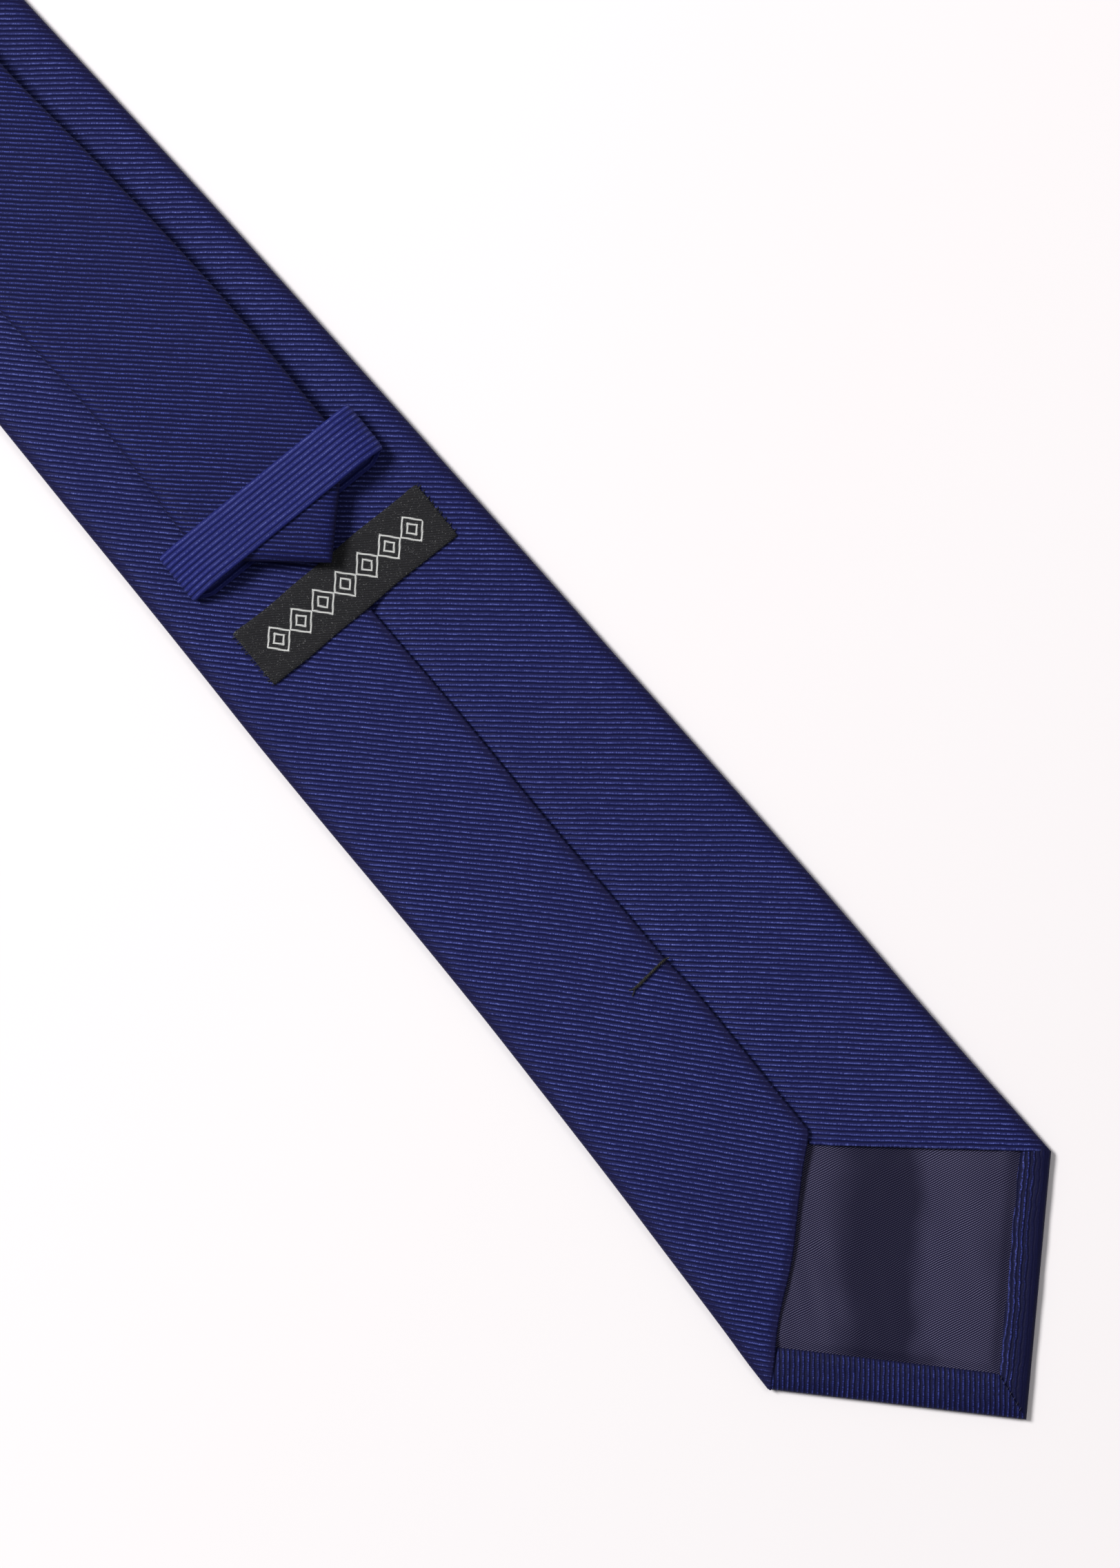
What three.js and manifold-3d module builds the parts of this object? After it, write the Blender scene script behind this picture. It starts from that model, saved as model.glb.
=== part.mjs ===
// Necktie, folded once at the neck and lying back side up, with its narrow
// tail drawn through the keeper loop on the back of the wide blade.
// Millimetres, +Z up. X runs along the tie, the wide tip at +X and the neck
// fold at -X. The origin is the centre of the footprint, on the surface that
// the tie lies on.
import * as THREE from 'three';
import { mergeVertices } from 'three/addons/utils/BufferGeometryUtils.js';
import Module from 'manifold-3d';

// ---------------------------------------------------------------- dimensions
const FOLDED_LENGTH = 848;        // wide tip to the outside of the neck fold
const CLOTH = 0.5;                // shell cloth, turned and pressed
const GAP = 0.3;                  // clearance between neighbouring layers
const BODY_THICKNESS = 4.0;       // one run of the tie, face to back
const TAIL_BASE = 5.1;            // underside of the upper run
const TAIL_TOP = TAIL_BASE + BODY_THICKNESS;
const LINING_IN = 1.9;            // depth of the lining behind the face
const RIGHT_FLAP_IN = 2.7;        // depth of the inner (right) back flap
const LEFT_FLAP_IN = 3.5;         // depth of the outer (left) back flap

// wide blade, distance from the tip and half width
const FRONT_SHOULDER = 39;
const FRONT_HALF = 38;
const FRONT_TIP_Y = -1.4;
const LOWER_RUN = [
  [39, 38, 0], [60, 37.2, 0.2], [85, 36.4, 0.5], [120, 35.6, 1.0], [160, 34.5, 1.0],
  [200, 33.9, 0.5], [240, 32.9, 0.4], [292, 31.6, -0.1], [350, 29.8, -0.9],
  [420, 27.4, -0.8], [560, 22.6, -0.3], [680, 19.2, 0], [760, 18.0, 0], [846, 17.5, 0],
];
const SEAM_Y = 2.2;               // free edge of the outer back flap
const UNDERLAP_Y = -8;            // free edge of the inner back flap
const HEM_LEFT = 8.8;             // turned hem on the two tip edges
const HEM_RIGHT = 6.6;

// narrow tail, distance from the wide tip when folded, half width, centre
const TAIL_TIP = 226.6;
const TAIL_SHOULDER = 244;
const TAIL_HALF = 18.75;
const UPPER_RUN = [
  [244, 18.75, 1.5], [266, 18.3, 1.5], [310, 17.2, 1.3], [380, 16.4, 1.0],
  [462, 16.0, 0.6], [560, 15.8, 0.3], [640, 15.9, 0.1], [740, 16.4, 0],
  [846, 17.5, 0],
];

// hinge lines, as distances from the wide tip
const NECK_FOLD = 846;
const ARCH_RISE = 640;
const ARCH_CREST = 462;
const ARCH_FALL = 285;
const MOUTH_TOP = 119;            // where the bar tack closes the back

// bias seams between the three cloth panels
const LOWER_SEAM = 700;
const UPPER_SEAM = 696;
const SEAM_SLOPE = 0.9;           // along per across

const KEEPER = { s: 244, y: 1.0, length: 50, width: 11.5, turn: -0.9 };
const LABEL = { s: 221.6, y: 1.7, length: 48.4, width: 13.4, turn: -0.8 };
const BAR_TACK = { s: 120.4, y: -2.0, length: 8.6, radius: 0.4 };

const HALF_LENGTH = FOLDED_LENGTH / 2;
const X = (s) => HALF_LENGTH - s;
const MID_LOWER = BODY_THICKNESS / 2;
const MID_UPPER = TAIL_BASE + BODY_THICKNESS / 2;

// ---------------------------------------------------------------- materials
const mat = (color, roughness) =>
  new THREE.MeshStandardMaterial({ color, roughness, metalness: 0 });
const navyRib = mat(0x23244f, 0.55);
const navyKeeper = mat(0x2a2c6a, 0.5);
const liningTwill = mat(0x262a3c, 0.6);
const wool = mat(0xd9d2c2, 0.95);
const labelBlack = mat(0x1e1e20, 0.8);
const threadBlack = mat(0x14140f, 0.7);
const threadNavy = mat(0x1b1c40, 0.7);

// ---------------------------------------------------------------- solids
const wasm = await Module();
wasm.setup();

function bare(geometry) {
  const g = geometry.index ? geometry.toNonIndexed() : geometry.clone();
  for (const name of Object.keys(g.attributes)) {
    if (name !== 'position') g.deleteAttribute(name);
  }
  g.clearGroups();
  return mergeVertices(g, 1e-4);
}

function solid(geometry) {
  const g = bare(geometry);
  return new wasm.Manifold(new wasm.Mesh({
    numProp: 3,
    vertProperties: new Float32Array(g.attributes.position.array),
    triVerts: new Uint32Array(g.index.array),
  }));
}

function geometryOf(manifold) {
  const m = manifold.getMesh();
  const g = new THREE.BufferGeometry();
  g.setAttribute('position', new THREE.BufferAttribute(new Float32Array(m.vertProperties), 3));
  g.setIndex(new THREE.BufferAttribute(new Uint32Array(m.triVerts), 1));
  return g;
}

function volumeOf(positions, index) {
  let v = 0;
  const a = new THREE.Vector3();
  const b = new THREE.Vector3();
  const c = new THREE.Vector3();
  for (let i = 0; i < index.length; i += 3) {
    a.fromArray(positions, index[i] * 3);
    b.fromArray(positions, index[i + 1] * 3);
    c.fromArray(positions, index[i + 2] * 3);
    v += a.dot(b.cross(c)) / 6;
  }
  return v;
}

// A flat plate: outline given as [distance from the tip, y] pairs.
function plate(outline, z0, z1) {
  const shape = new THREE.Shape(outline.map(([s, y]) => new THREE.Vector2(X(s), y)));
  const g = new THREE.ExtrudeGeometry(shape, { depth: z1 - z0, bevelEnabled: false });
  g.translate(0, 0, z0);
  return bare(g);
}

// Section of the folded shell: one cloth that wraps the face, both edges and
// two back flaps, the left one over the right. Points are [y, depth].
function shellSection(half, centre, seam, underlap) {
  const rR = RIGHT_FLAP_IN + CLOTH;
  const rL = BODY_THICKNESS;
  const yR = half - rR / 2;
  const yL = -(half - rL / 2);
  const points = [];
  const arc = (cy, cd, r, from, to, n) => {
    for (let i = 0; i <= n; i += 1) {
      const a = from + ((to - from) * i) / n;
      points.push([cy + r * Math.cos(a), cd + r * Math.sin(a)]);
    }
  };
  const H = Math.PI / 2;
  points.push([underlap, rR]);
  arc(yR, rR / 2, rR / 2, H, -H, 5);
  arc(yL, rL / 2, rL / 2, 3 * H, H, 5);
  points.push([seam, rL]);
  points.push([seam, rL - CLOTH]);
  arc(yL, rL / 2, rL / 2 - CLOTH, H, 3 * H, 5);
  arc(yR, rR / 2, rR / 2 - CLOTH, -H, H, 5);
  points.push([underlap, rR - CLOTH]);
  return points.map(([y, d]) => [y + centre, d]);
}

// Loft of equal sections. place(along, y, depth) gives a world point;
// trim0/trim1 pull the end rings inwards, as far as the point's y and depth say.
function loft(stations, sectionAt, place, trim0, trim1) {
  const n = stations.length;
  const rings = stations.map((st) => sectionAt(st));
  const count = rings[0].length;
  const positions = [];
  const sign = Math.sign(stations[n - 1][0] - stations[0][0]);
  rings.forEach((ring, i) => {
    ring.forEach(([y, d]) => {
      let along = stations[i][0];
      if (i === 0 && trim0) along += sign * trim0(y, d);
      if (i === n - 1 && trim1) along -= sign * trim1(y, d);
      const p = place(along, y, d);
      positions.push(p[0], p[1], p[2]);
    });
  });
  const index = [];
  for (let i = 0; i < n - 1; i += 1) {
    for (let j = 0; j < count; j += 1) {
      const k = (j + 1) % count;
      const a = i * count + j;
      const b = i * count + k;
      index.push(a, b, b + count, a, b + count, a + count);
    }
  }
  const contour = rings[0].map(([y, d]) => new THREE.Vector2(y, d));
  const clockwise = THREE.ShapeUtils.isClockWise(contour);
  const cap = THREE.ShapeUtils.triangulateShape(contour, []);
  for (const [a, b, c] of cap) {
    if (clockwise) index.push(c, a, b);
    else index.push(a, b, c);
  }
  const contourEnd = rings[n - 1].map(([y, d]) => new THREE.Vector2(y, d));
  const capEnd = THREE.ShapeUtils.triangulateShape(contourEnd, []);
  const off = (n - 1) * count;
  for (const [a, b, c] of capEnd) {
    if (clockwise) index.push(off + c, off + b, off + a);
    else index.push(off + a, off + c, off + b);
  }
  // the side walls follow the section's own direction
  const sideFix = clockwise ? 1 : -1;
  const sides = (n - 1) * count * 6;
  if (sideFix < 0) {
    for (let i = 0; i < sides; i += 3) {
      const t = index[i];
      index[i] = index[i + 1];
      index[i + 1] = t;
    }
  }
  if (volumeOf(positions, index) < 0) {
    for (let i = 0; i < index.length; i += 3) {
      const t = index[i];
      index[i] = index[i + 1];
      index[i + 1] = t;
    }
  }
  const g = new THREE.BufferGeometry();
  g.setAttribute('position', new THREE.BufferAttribute(new Float32Array(positions), 3));
  g.setIndex(index);
  return g;
}

const lower = (s, y, d) => [X(s), y, d];
const upper = (s, y, d) => [X(s), y, TAIL_TOP - d];
const folded = (z, y, d) => [X(FOLDED_LENGTH) + d, y, z];

function between(run, from, to) {
  const at = (s) => {
    let i = 0;
    while (i < run.length - 2 && run[i + 1][0] < s) i += 1;
    const a = run[i];
    const b = run[i + 1];
    const t = (s - a[0]) / (b[0] - a[0]);
    return [s, a[1] + (b[1] - a[1]) * t, (a[2] || 0) + ((b[2] || 0) - (a[2] || 0)) * t];
  };
  const out = [at(from)];
  for (const st of run) if (st[0] > from + 8 && st[0] < to - 8) out.push([st[0], st[1], st[2] || 0]);
  out.push(at(to));
  return out;
}

// clearances at the hinge lines
const neckTrim = (y, d) => 0.15 + Math.max(0, d - 2);
const crestTrim = (y, d) => 0.15 + Math.max(0, d - 2) * Math.tan((20 * Math.PI) / 180);
const riseTrim = (y, d) => 0.15 + Math.max(0, 2 - d) * Math.tan((10 * Math.PI) / 180);
const biasTrim = (side) => (y) => 0.15 + side * SEAM_SLOPE * y;

const shellAt = (underlap = UNDERLAP_Y) => ([, half, centre]) =>
  shellSection(half, centre || 0, SEAM_Y, underlap);
const tailShellAt = ([, half, centre]) => shellSection(half, centre || 0, 1.5, -5);

// ---------------------------------------------------------------- wide blade
const hingeLeft = [[40.5, -36.0], [MOUTH_TOP, SEAM_Y + 0.1]];
const hingeRight = [[40.5, 36.4], [MOUTH_TOP + 1, 0.9]];

function tipTray(shoulder, half, tipS, tipY, centre, hemA, hemB) {
  // pointed end: face cloth, the fold along both tip edges, and the hems
  const back = shoulder + 0.5;
  const corner = (inset, side) => {
    // tip edge moved inwards by inset, met with the back line
    const y1 = centre + side * half;
    const dx = shoulder - tipS;
    const dy = y1 - tipY;
    const len = Math.hypot(dx, dy);
    const shift = inset * len / dx;
    return { y: y1 - side * shift, slope: dy / dx };
  };
  const ring = (insetA, insetB, end) => {
    const a = corner(insetA, -1);
    const b = corner(insetB, 1);
    // where the two moved edges meet
    const s0 = shoulder + (a.y - b.y) / (b.slope - a.slope);
    const yTip = b.y + b.slope * (s0 - shoulder);
    return [[end, a.y], [shoulder, a.y], [s0, yTip], [shoulder, b.y], [end, b.y]];
  };
  const outline = ring(0, 0, back);
  const tip = outline[2];
  // the very point is rounded
  outline.splice(2, 1,
    [tip[0] + 1.0, tip[1] - 1.0 * (tipY - (centre - half)) / (shoulder - tipS)],
    [tip[0] + 0.35, tip[1]],
    [tip[0] + 1.0, tip[1] + 1.0 * ((centre + half) - tipY) / (shoulder - tipS)]);
  return { outline, cavity: ring(CLOTH, CLOTH, back + 5), opening: ring(hemA, hemB, back + 5) };
}

const trayF = tipTray(FRONT_SHOULDER, FRONT_HALF, -0.35, FRONT_TIP_Y, 0, HEM_LEFT, HEM_RIGHT);
const hemTop = RIGHT_FLAP_IN + CLOTH;
let frontTray = solid(plate(trayF.outline, 0, hemTop))
  .subtract(solid(plate(trayF.cavity, CLOTH, RIGHT_FLAP_IN)))
  .subtract(solid(plate(trayF.opening, CLOTH, 6)));

const frontRun = between(LOWER_RUN, FRONT_SHOULDER, LOWER_SEAM);
let frontLoft = solid(loft(frontRun, shellAt(), lower, null, biasTrim(1)));
frontLoft = frontLoft
  .subtract(solid(plate([
    hingeLeft[0], hingeLeft[1], [MOUTH_TOP, 8], [30, 8], [30, -36.0],
  ], 3.3, 4.6)))
  .subtract(solid(plate([
    hingeRight[0], hingeRight[1], [125, 0.9], [125, -12], [30, -12], [30, 36.4],
  ], 2.55, 3.35)));
const frontShell = geometryOf(frontLoft.add(frontTray));

function shifted(line, by) {
  // both ends of a hinge line moved sideways
  const [[s0, y0], [s1, y1]] = line;
  const len = Math.hypot(s1 - s0, y1 - y0);
  const ns = -(y1 - y0) / len;
  const ny = (s1 - s0) / len;
  return [[s0 + ns * by, y0 + ny * by], [s1 + ns * by, y1 + ny * by]];
}

const leftFold = shifted(hingeLeft, 0.35);
const rightFold = shifted(hingeRight, -0.35);
const leftFlap = plate([
  [42.0, -34.9], [MOUTH_TOP - 1.2, SEAM_Y - 0.5 + 0.35], [MOUTH_TOP - 1.6, SEAM_Y],
  [74.6, SEAM_Y], [72.4, 0.1], [69.6, -3.3], [64, -9.3], [57.2, -16.4], [48.3, -27.8], [43.2, -33.4],
].map((p, i) => (i === 0 ? [leftFold[0][0] + 1.2, leftFold[0][1] + 0.61]
  : i === 1 ? [leftFold[1][0] - 0.9, leftFold[1][1] - 0.44] : p)), LEFT_FLAP_IN, BODY_THICKNESS);
const rightFlap = plate([
  [rightFold[0][0] + 1.0, rightFold[0][1] - 0.45],
  [113, 3.6], [111, 1.0], [72.2, 1.0], [42.6, 34.6],
], RIGHT_FLAP_IN, hemTop);

// neck panel, lower run
const neckLowerRun = between(LOWER_RUN, LOWER_SEAM, NECK_FOLD);
const neckShellLower = loft(neckLowerRun, shellAt(), lower, biasTrim(-1), neckTrim);

// interlining of the lower run: one long wool piece, thinner where the lining
// lies on it
const sideInset = 1.9;
const lowerHalf = (s) => between(LOWER_RUN, s, s + 0.001)[0][1] - sideInset;
const lowerCentre = (s) => between(LOWER_RUN, s, s + 0.001)[0][2];
const stripOutline = (from, to, halfAt, centreAt = () => 0, steps = 6) => {
  const left = [];
  const right = [];
  for (let i = 0; i <= steps; i += 1) {
    const s = from + ((to - from) * i) / steps;
    left.push([s, centreAt(s) - halfAt(s)]);
    right.push([s, centreAt(s) + halfAt(s)]);
  }
  return left.concat(right.reverse());
};
const frontTongue = [
  [160, 33.3], [160, -31.3], [120, -32.4], [85, -33.7], [42, -35.6], [38.6, -34.6],
  [4.4, FRONT_TIP_Y - 0.9], [4.4, FRONT_TIP_Y + 0.9], [38.6, 34.6], [42, 35.4], [120, 34.3],
];
const frontInterlining = geometryOf(
  solid(plate(frontTongue, 0.8, 1.6)).add(
    solid(plate(stripOutline(159.5, NECK_FOLD - 0.9, lowerHalf, lowerCentre, 14), 0.8, 2.4))));

// lining of the wide tip, tucked under the hems and the back flaps
const frontTipping = plate([
  [152, 33.2], [152, -31.2], [120, -32.2], [85, -33.4], [42, -35.0], [39.4, -33.9],
  [4.6, FRONT_TIP_Y - 0.8], [4.6, FRONT_TIP_Y + 0.8], [39.4, 34.6], [42, 35.0], [120, 34.0],
], LINING_IN, LINING_IN + CLOTH);

// slip stitch that closes the back, a loose thread beside the inner flap
const threadBar = (s0, s1, y, z, size = 0.5) =>
  bare(new THREE.BoxGeometry(s1 - s0, size, size).translate(X((s0 + s1) / 2), y, z));
const frontSlip = threadBar(128, NECK_FOLD - 2, UNDERLAP_Y - 1.7, RIGHT_FLAP_IN + 0.25);

// ---------------------------------------------------------------- neck fold
const foldStations = [[MID_LOWER, 17.5, 0], [MID_UPPER, 17.5, 0]];
const neckShellFold = loft(foldStations, shellAt(), folded, neckTrim, neckTrim);
const neckInterFold = bare(new THREE.BoxGeometry(1.2, 2 * (17.5 - sideInset), MID_UPPER - MID_LOWER - 1.4)
  .translate(X(FOLDED_LENGTH) + 1.5, 0, (MID_LOWER + MID_UPPER) / 2));

// ---------------------------------------------------------------- upper run
const neckShellUpper = loft(between(UPPER_RUN, UPPER_SEAM, NECK_FOLD).map((p) => p),
  shellAt(), upper, biasTrim(-1), neckTrim);
const tailShellRear = loft(between(UPPER_RUN, ARCH_RISE, UPPER_SEAM),
  shellAt(), upper, riseTrim, biasTrim(1));
const tailShellUpper = loft(between(UPPER_RUN, ARCH_CREST, ARCH_RISE),
  tailShellAt, upper, crestTrim, riseTrim);
const tailShellMiddle = loft(between(UPPER_RUN, ARCH_FALL, ARCH_CREST),
  tailShellAt, upper, riseTrim, crestTrim);

// tail end with its own small tip, hems and lining, face up
const trayT = tipTray(TAIL_SHOULDER, TAIL_HALF, TAIL_TIP - 0.35, 2.5, 1.5, 5.5, 5.5);
const flip = new THREE.Matrix4().set(1, 0, 0, 0, 0, 1, 0, 0, 0, 0, -1, TAIL_TOP, 0, 0, 0, 1);
const flipped = (geometry) => {
  const g = bare(geometry).applyMatrix4(flip);
  const idx = g.index.array;
  for (let i = 0; i < idx.length; i += 3) {
    const t = idx[i];
    idx[i] = idx[i + 1];
    idx[i + 1] = t;
  }
  return g;
};
let tailTray = solid(plate(trayT.outline, 0, hemTop))
  .subtract(solid(plate(trayT.cavity, CLOTH, RIGHT_FLAP_IN)))
  .subtract(solid(plate(trayT.opening, CLOTH, 6)));
let tailLoft = solid(loft(between(UPPER_RUN, TAIL_SHOULDER, ARCH_FALL), tailShellAt, lower, null, riseTrim));
tailLoft = tailLoft.subtract(solid(plate([
  [246, -15.4], [264, 1.5], [264, 4], [246, 18.0], [236, 18.0], [236, -15.4],
], 2.55, 4.6)));
const tailShellTip = flipped(geometryOf(tailLoft.add(tailTray)));
const tailTipping = flipped(plate([
  [276, 15.4], [276, -12.4], [246, -14.6], [243, -13.8], [230.6, 2.0], [230.6, 3.0], [243, 17.6], [246, 18.0],
], LINING_IN, LINING_IN + CLOTH));

const upperAt = (s) => between(UPPER_RUN, s, s + 0.001)[0];
const upperHalf = (s) => upperAt(s)[1] - sideInset;
const upperCentre = (s) => upperAt(s)[2];
const interUpper = (from, to) =>
  flipped(plate(stripOutline(from, to, upperHalf, upperCentre, 3), 0.8, 2.4));
const neckInterUpper = interUpper(ARCH_RISE + 0.9, NECK_FOLD - 0.9);
const tailInterUpper = interUpper(ARCH_CREST + 0.9, ARCH_RISE - 0.9);
const tailInterMiddle = interUpper(ARCH_FALL + 0.9, ARCH_CREST - 0.9);
const tailInterTip = flipped(geometryOf(
  solid(plate([
    [280, upperCentre(280) + upperHalf(280)], [280, upperCentre(280) - upperHalf(280)],
    [246, -14.9], [242.6, -13.6], [230.4, 2.1], [230.4, 2.9], [242.6, 17.2], [246, 18.2],
  ], 0.8, 1.6)).add(
    solid(plate(stripOutline(279.5, ARCH_FALL - 0.9, upperHalf, upperCentre, 1), 0.8, 1.6)))));

const upperSlip = (s0, s1, y) => threadBar(s0, s1, y, TAIL_TOP - RIGHT_FLAP_IN - 0.25);
const neckSlipUpper = upperSlip(ARCH_RISE + 2, NECK_FOLD - 3, UNDERLAP_Y - 0.75);
const tailSlipUpper = upperSlip(ARCH_CREST + 2, ARCH_RISE - 2, -5.55);
const tailSlipMiddle = upperSlip(ARCH_FALL + 2, ARCH_CREST - 2, -5.3);

// ---------------------------------------------------------------- small parts
const spin = (geometry, item) => geometry
  .rotateZ((item.turn * Math.PI) / 180)
  .translate(X(item.s), item.y, 0);

// keeper: a flattened ring of self cloth, open along the tie
const ringHalf = KEEPER.length / 2;
const ringLow = BODY_THICKNESS + GAP;
const ringHigh = TAIL_TOP + GAP + CLOTH;
const ringMid = (ringLow + ringHigh) / 2;
const ringRad = (ringHigh - ringLow) / 2;
const ringShape = new THREE.Shape();
const ringHole = new THREE.Path();
const ringOutline = (r, half) => {
  const pts = [];
  for (let i = 0; i <= 6; i += 1) {
    const a = -Math.PI / 2 + (Math.PI * i) / 6;
    pts.push(new THREE.Vector2(half - ringRad * 0.35 + r * 0.35 * Math.cos(a), ringMid + r * Math.sin(a)));
  }
  for (let i = 0; i <= 6; i += 1) {
    const a = Math.PI / 2 + (Math.PI * i) / 6;
    pts.push(new THREE.Vector2(-half + ringRad * 0.35 + r * 0.35 * Math.cos(a), ringMid + r * Math.sin(a)));
  }
  return pts;
};
ringShape.setFromPoints(ringOutline(ringRad, ringHalf));
ringHole.setFromPoints(ringOutline(ringRad - CLOTH, ringHalf - 0.35).reverse());
ringShape.holes.push(ringHole);
const ringGeometry = new THREE.ExtrudeGeometry(ringShape, { depth: KEEPER.width, bevelEnabled: false });
// section plane (y, z) extruded along x
ringGeometry.applyMatrix4(new THREE.Matrix4().set(
  0, 0, 1, -KEEPER.width / 2,
  1, 0, 0, 0,
  0, 1, 0, 0,
  0, 0, 0, 1));
const tackHole = new THREE.CylinderGeometry(1.1, 1.1, 1.4, 12).rotateX(Math.PI / 2).translate(0, 0, ringLow + CLOTH / 2);
const keeperLoop = spin(geometryOf(solid(ringGeometry).subtract(solid(tackHole))), KEEPER);
const keeperTack = spin(bare(new THREE.CylinderGeometry(0.8, 0.8, CLOTH, 12)
  .rotateX(Math.PI / 2).translate(0, 0, ringLow + CLOTH / 2)), KEEPER);

const labelPlate = spin(bare(new THREE.BoxGeometry(LABEL.width, LABEL.length, CLOTH)
  .translate(0, 0, ringLow + CLOTH / 2)), LABEL);
const labelStitch = (side) => spin(bare(new THREE.BoxGeometry(LABEL.width - 2, 0.5, CLOTH)
  .translate(0, side * (LABEL.length / 2 + 0.55), ringLow + CLOTH / 2)), LABEL);

const barTack = bare(new THREE.CylinderGeometry(BAR_TACK.radius, BAR_TACK.radius, BAR_TACK.length, 8)
  .translate(X(BAR_TACK.s), BAR_TACK.y, BODY_THICKNESS + GAP + BAR_TACK.radius));
const tailBarTack = bare(new THREE.CylinderGeometry(0.25, 0.25, 6, 8)
  .translate(X(270), 1.5, TAIL_BASE - GAP - 0.25));
const mitreStitch = bare(new THREE.BoxGeometry(6.5, 0.5, 0.4)
  .rotateZ(0.05).translate(X(6.2), FRONT_TIP_Y + 0.2, hemTop + GAP + 0.2));

// ---------------------------------------------------------------- assembly
const tie = new THREE.Group();
function add(name, geometry, material) {
  const mesh = new THREE.Mesh(geometry, material.clone());
  mesh.name = name;
  tie.add(mesh);
  return mesh;
}

add('front_shell', frontShell, navyRib);
add('front_flap_left', leftFlap, navyRib);
add('front_flap_right', rightFlap, navyRib);
add('front_interlining', frontInterlining, wool);
add('front_tipping', frontTipping, liningTwill);
add('front_slip_stitch', frontSlip, threadNavy);
add('front_bar_tack', barTack, threadBlack);
add('front_mitre_stitch', mitreStitch, threadNavy);
add('neck_shell_lower', neckShellLower, navyRib);
add('neck_shell_fold', neckShellFold, navyRib);
add('neck_interlining_fold', neckInterFold, wool);
add('neck_shell_upper', neckShellUpper, navyRib);
add('neck_interlining_upper', neckInterUpper, wool);
add('neck_slip_stitch', neckSlipUpper, threadNavy);
add('tail_shell_rear', tailShellRear, navyRib);
add('tail_shell_upper', tailShellUpper, navyRib);
add('tail_interlining_upper', tailInterUpper, wool);
add('tail_slip_stitch_upper', tailSlipUpper, threadNavy);
add('tail_shell_middle', tailShellMiddle, navyRib);
add('tail_interlining_middle', tailInterMiddle, wool);
add('tail_slip_stitch_middle', tailSlipMiddle, threadNavy);
add('tail_shell_tip', tailShellTip, navyRib);
add('tail_interlining_tip', tailInterTip, wool);
add('tail_tipping', tailTipping, liningTwill);
add('tail_bar_tack', tailBarTack, threadBlack);
add('keeper_loop', keeperLoop, navyKeeper);
add('keeper_tack', keeperTack, threadNavy);
add('label', labelPlate, labelBlack);
add('label_stitch_left', labelStitch(-1), threadBlack);
add('label_stitch_right', labelStitch(1), threadBlack);

export default tie;
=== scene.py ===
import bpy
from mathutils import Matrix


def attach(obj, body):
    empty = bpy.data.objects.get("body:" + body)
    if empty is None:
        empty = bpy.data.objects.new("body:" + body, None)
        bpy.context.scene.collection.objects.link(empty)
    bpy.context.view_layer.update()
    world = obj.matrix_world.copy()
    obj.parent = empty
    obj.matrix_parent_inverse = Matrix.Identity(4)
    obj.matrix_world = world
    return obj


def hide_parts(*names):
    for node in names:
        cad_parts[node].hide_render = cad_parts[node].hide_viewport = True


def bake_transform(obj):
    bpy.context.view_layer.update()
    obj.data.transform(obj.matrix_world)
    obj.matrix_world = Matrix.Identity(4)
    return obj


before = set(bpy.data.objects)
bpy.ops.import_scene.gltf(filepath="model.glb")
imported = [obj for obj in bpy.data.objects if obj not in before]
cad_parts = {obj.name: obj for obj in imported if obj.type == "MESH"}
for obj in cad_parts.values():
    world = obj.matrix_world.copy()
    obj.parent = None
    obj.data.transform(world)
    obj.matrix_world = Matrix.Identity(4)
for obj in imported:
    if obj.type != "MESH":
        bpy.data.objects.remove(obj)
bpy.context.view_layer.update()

import math

import bpy
import numpy as np
from mathutils import Matrix, Vector

# Necktie, folded once at the neck and lying back side up. Lengths are in
# millimetres until the mesh is made. s is the distance from the wide tip,
# y runs across the tie, z is up.
MM = 0.001
PHI = math.radians(-45.85)      # rib direction on the face of the wide blade
PITCH = 1.04
CLOTH = 0.40
ROLL = 5.0                      # how far in from an edge the cloth rolls over


def X(s):
    return 424.0 - np.asarray(s, float)


def pchip(points):
    xs = np.array([p[0] for p in points], float)
    ys = np.array([p[1] for p in points], float)
    h = np.diff(xs)
    d = np.diff(ys) / h
    m = np.zeros_like(ys)
    for k in range(1, len(xs) - 1):
        if d[k - 1] * d[k] > 0:
            w1, w2 = 2 * h[k] + h[k - 1], h[k] + 2 * h[k - 1]
            m[k] = (w1 + w2) / (w1 / d[k - 1] + w2 / d[k])
    m[0], m[-1] = d[0], d[-1]

    def f(x):
        x = np.clip(np.asarray(x, float), xs[0], xs[-1])
        i = np.clip(np.searchsorted(xs, x) - 1, 0, len(xs) - 2)
        t = (x - xs[i]) / h[i]
        return ((2 * t**3 - 3 * t**2 + 1) * ys[i] + (t**3 - 2 * t**2 + t) * h[i] * m[i]
                + (-2 * t**3 + 3 * t**2) * ys[i + 1] + (t**3 - t**2) * h[i] * m[i + 1])
    return f


def sm(a, b, v):
    t = np.clip((np.asarray(v, float) - a) / (b - a), 0, 1)
    return t * t * (3 - 2 * t)


def ripple(x, y, seed, scale):
    """Smooth value noise made of a few seeded waves, about -1 to 1."""
    rng = np.random.default_rng(seed)
    out = 0
    for k in range(7):
        a = rng.uniform(0, 2 * math.pi)
        f = rng.uniform(0.5, 1.5) * 2 * math.pi / scale
        out = out + np.sin(f * (x * math.cos(a) + y * math.sin(a)) + rng.uniform(0, 6.28))
    return out / 3.2


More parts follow.
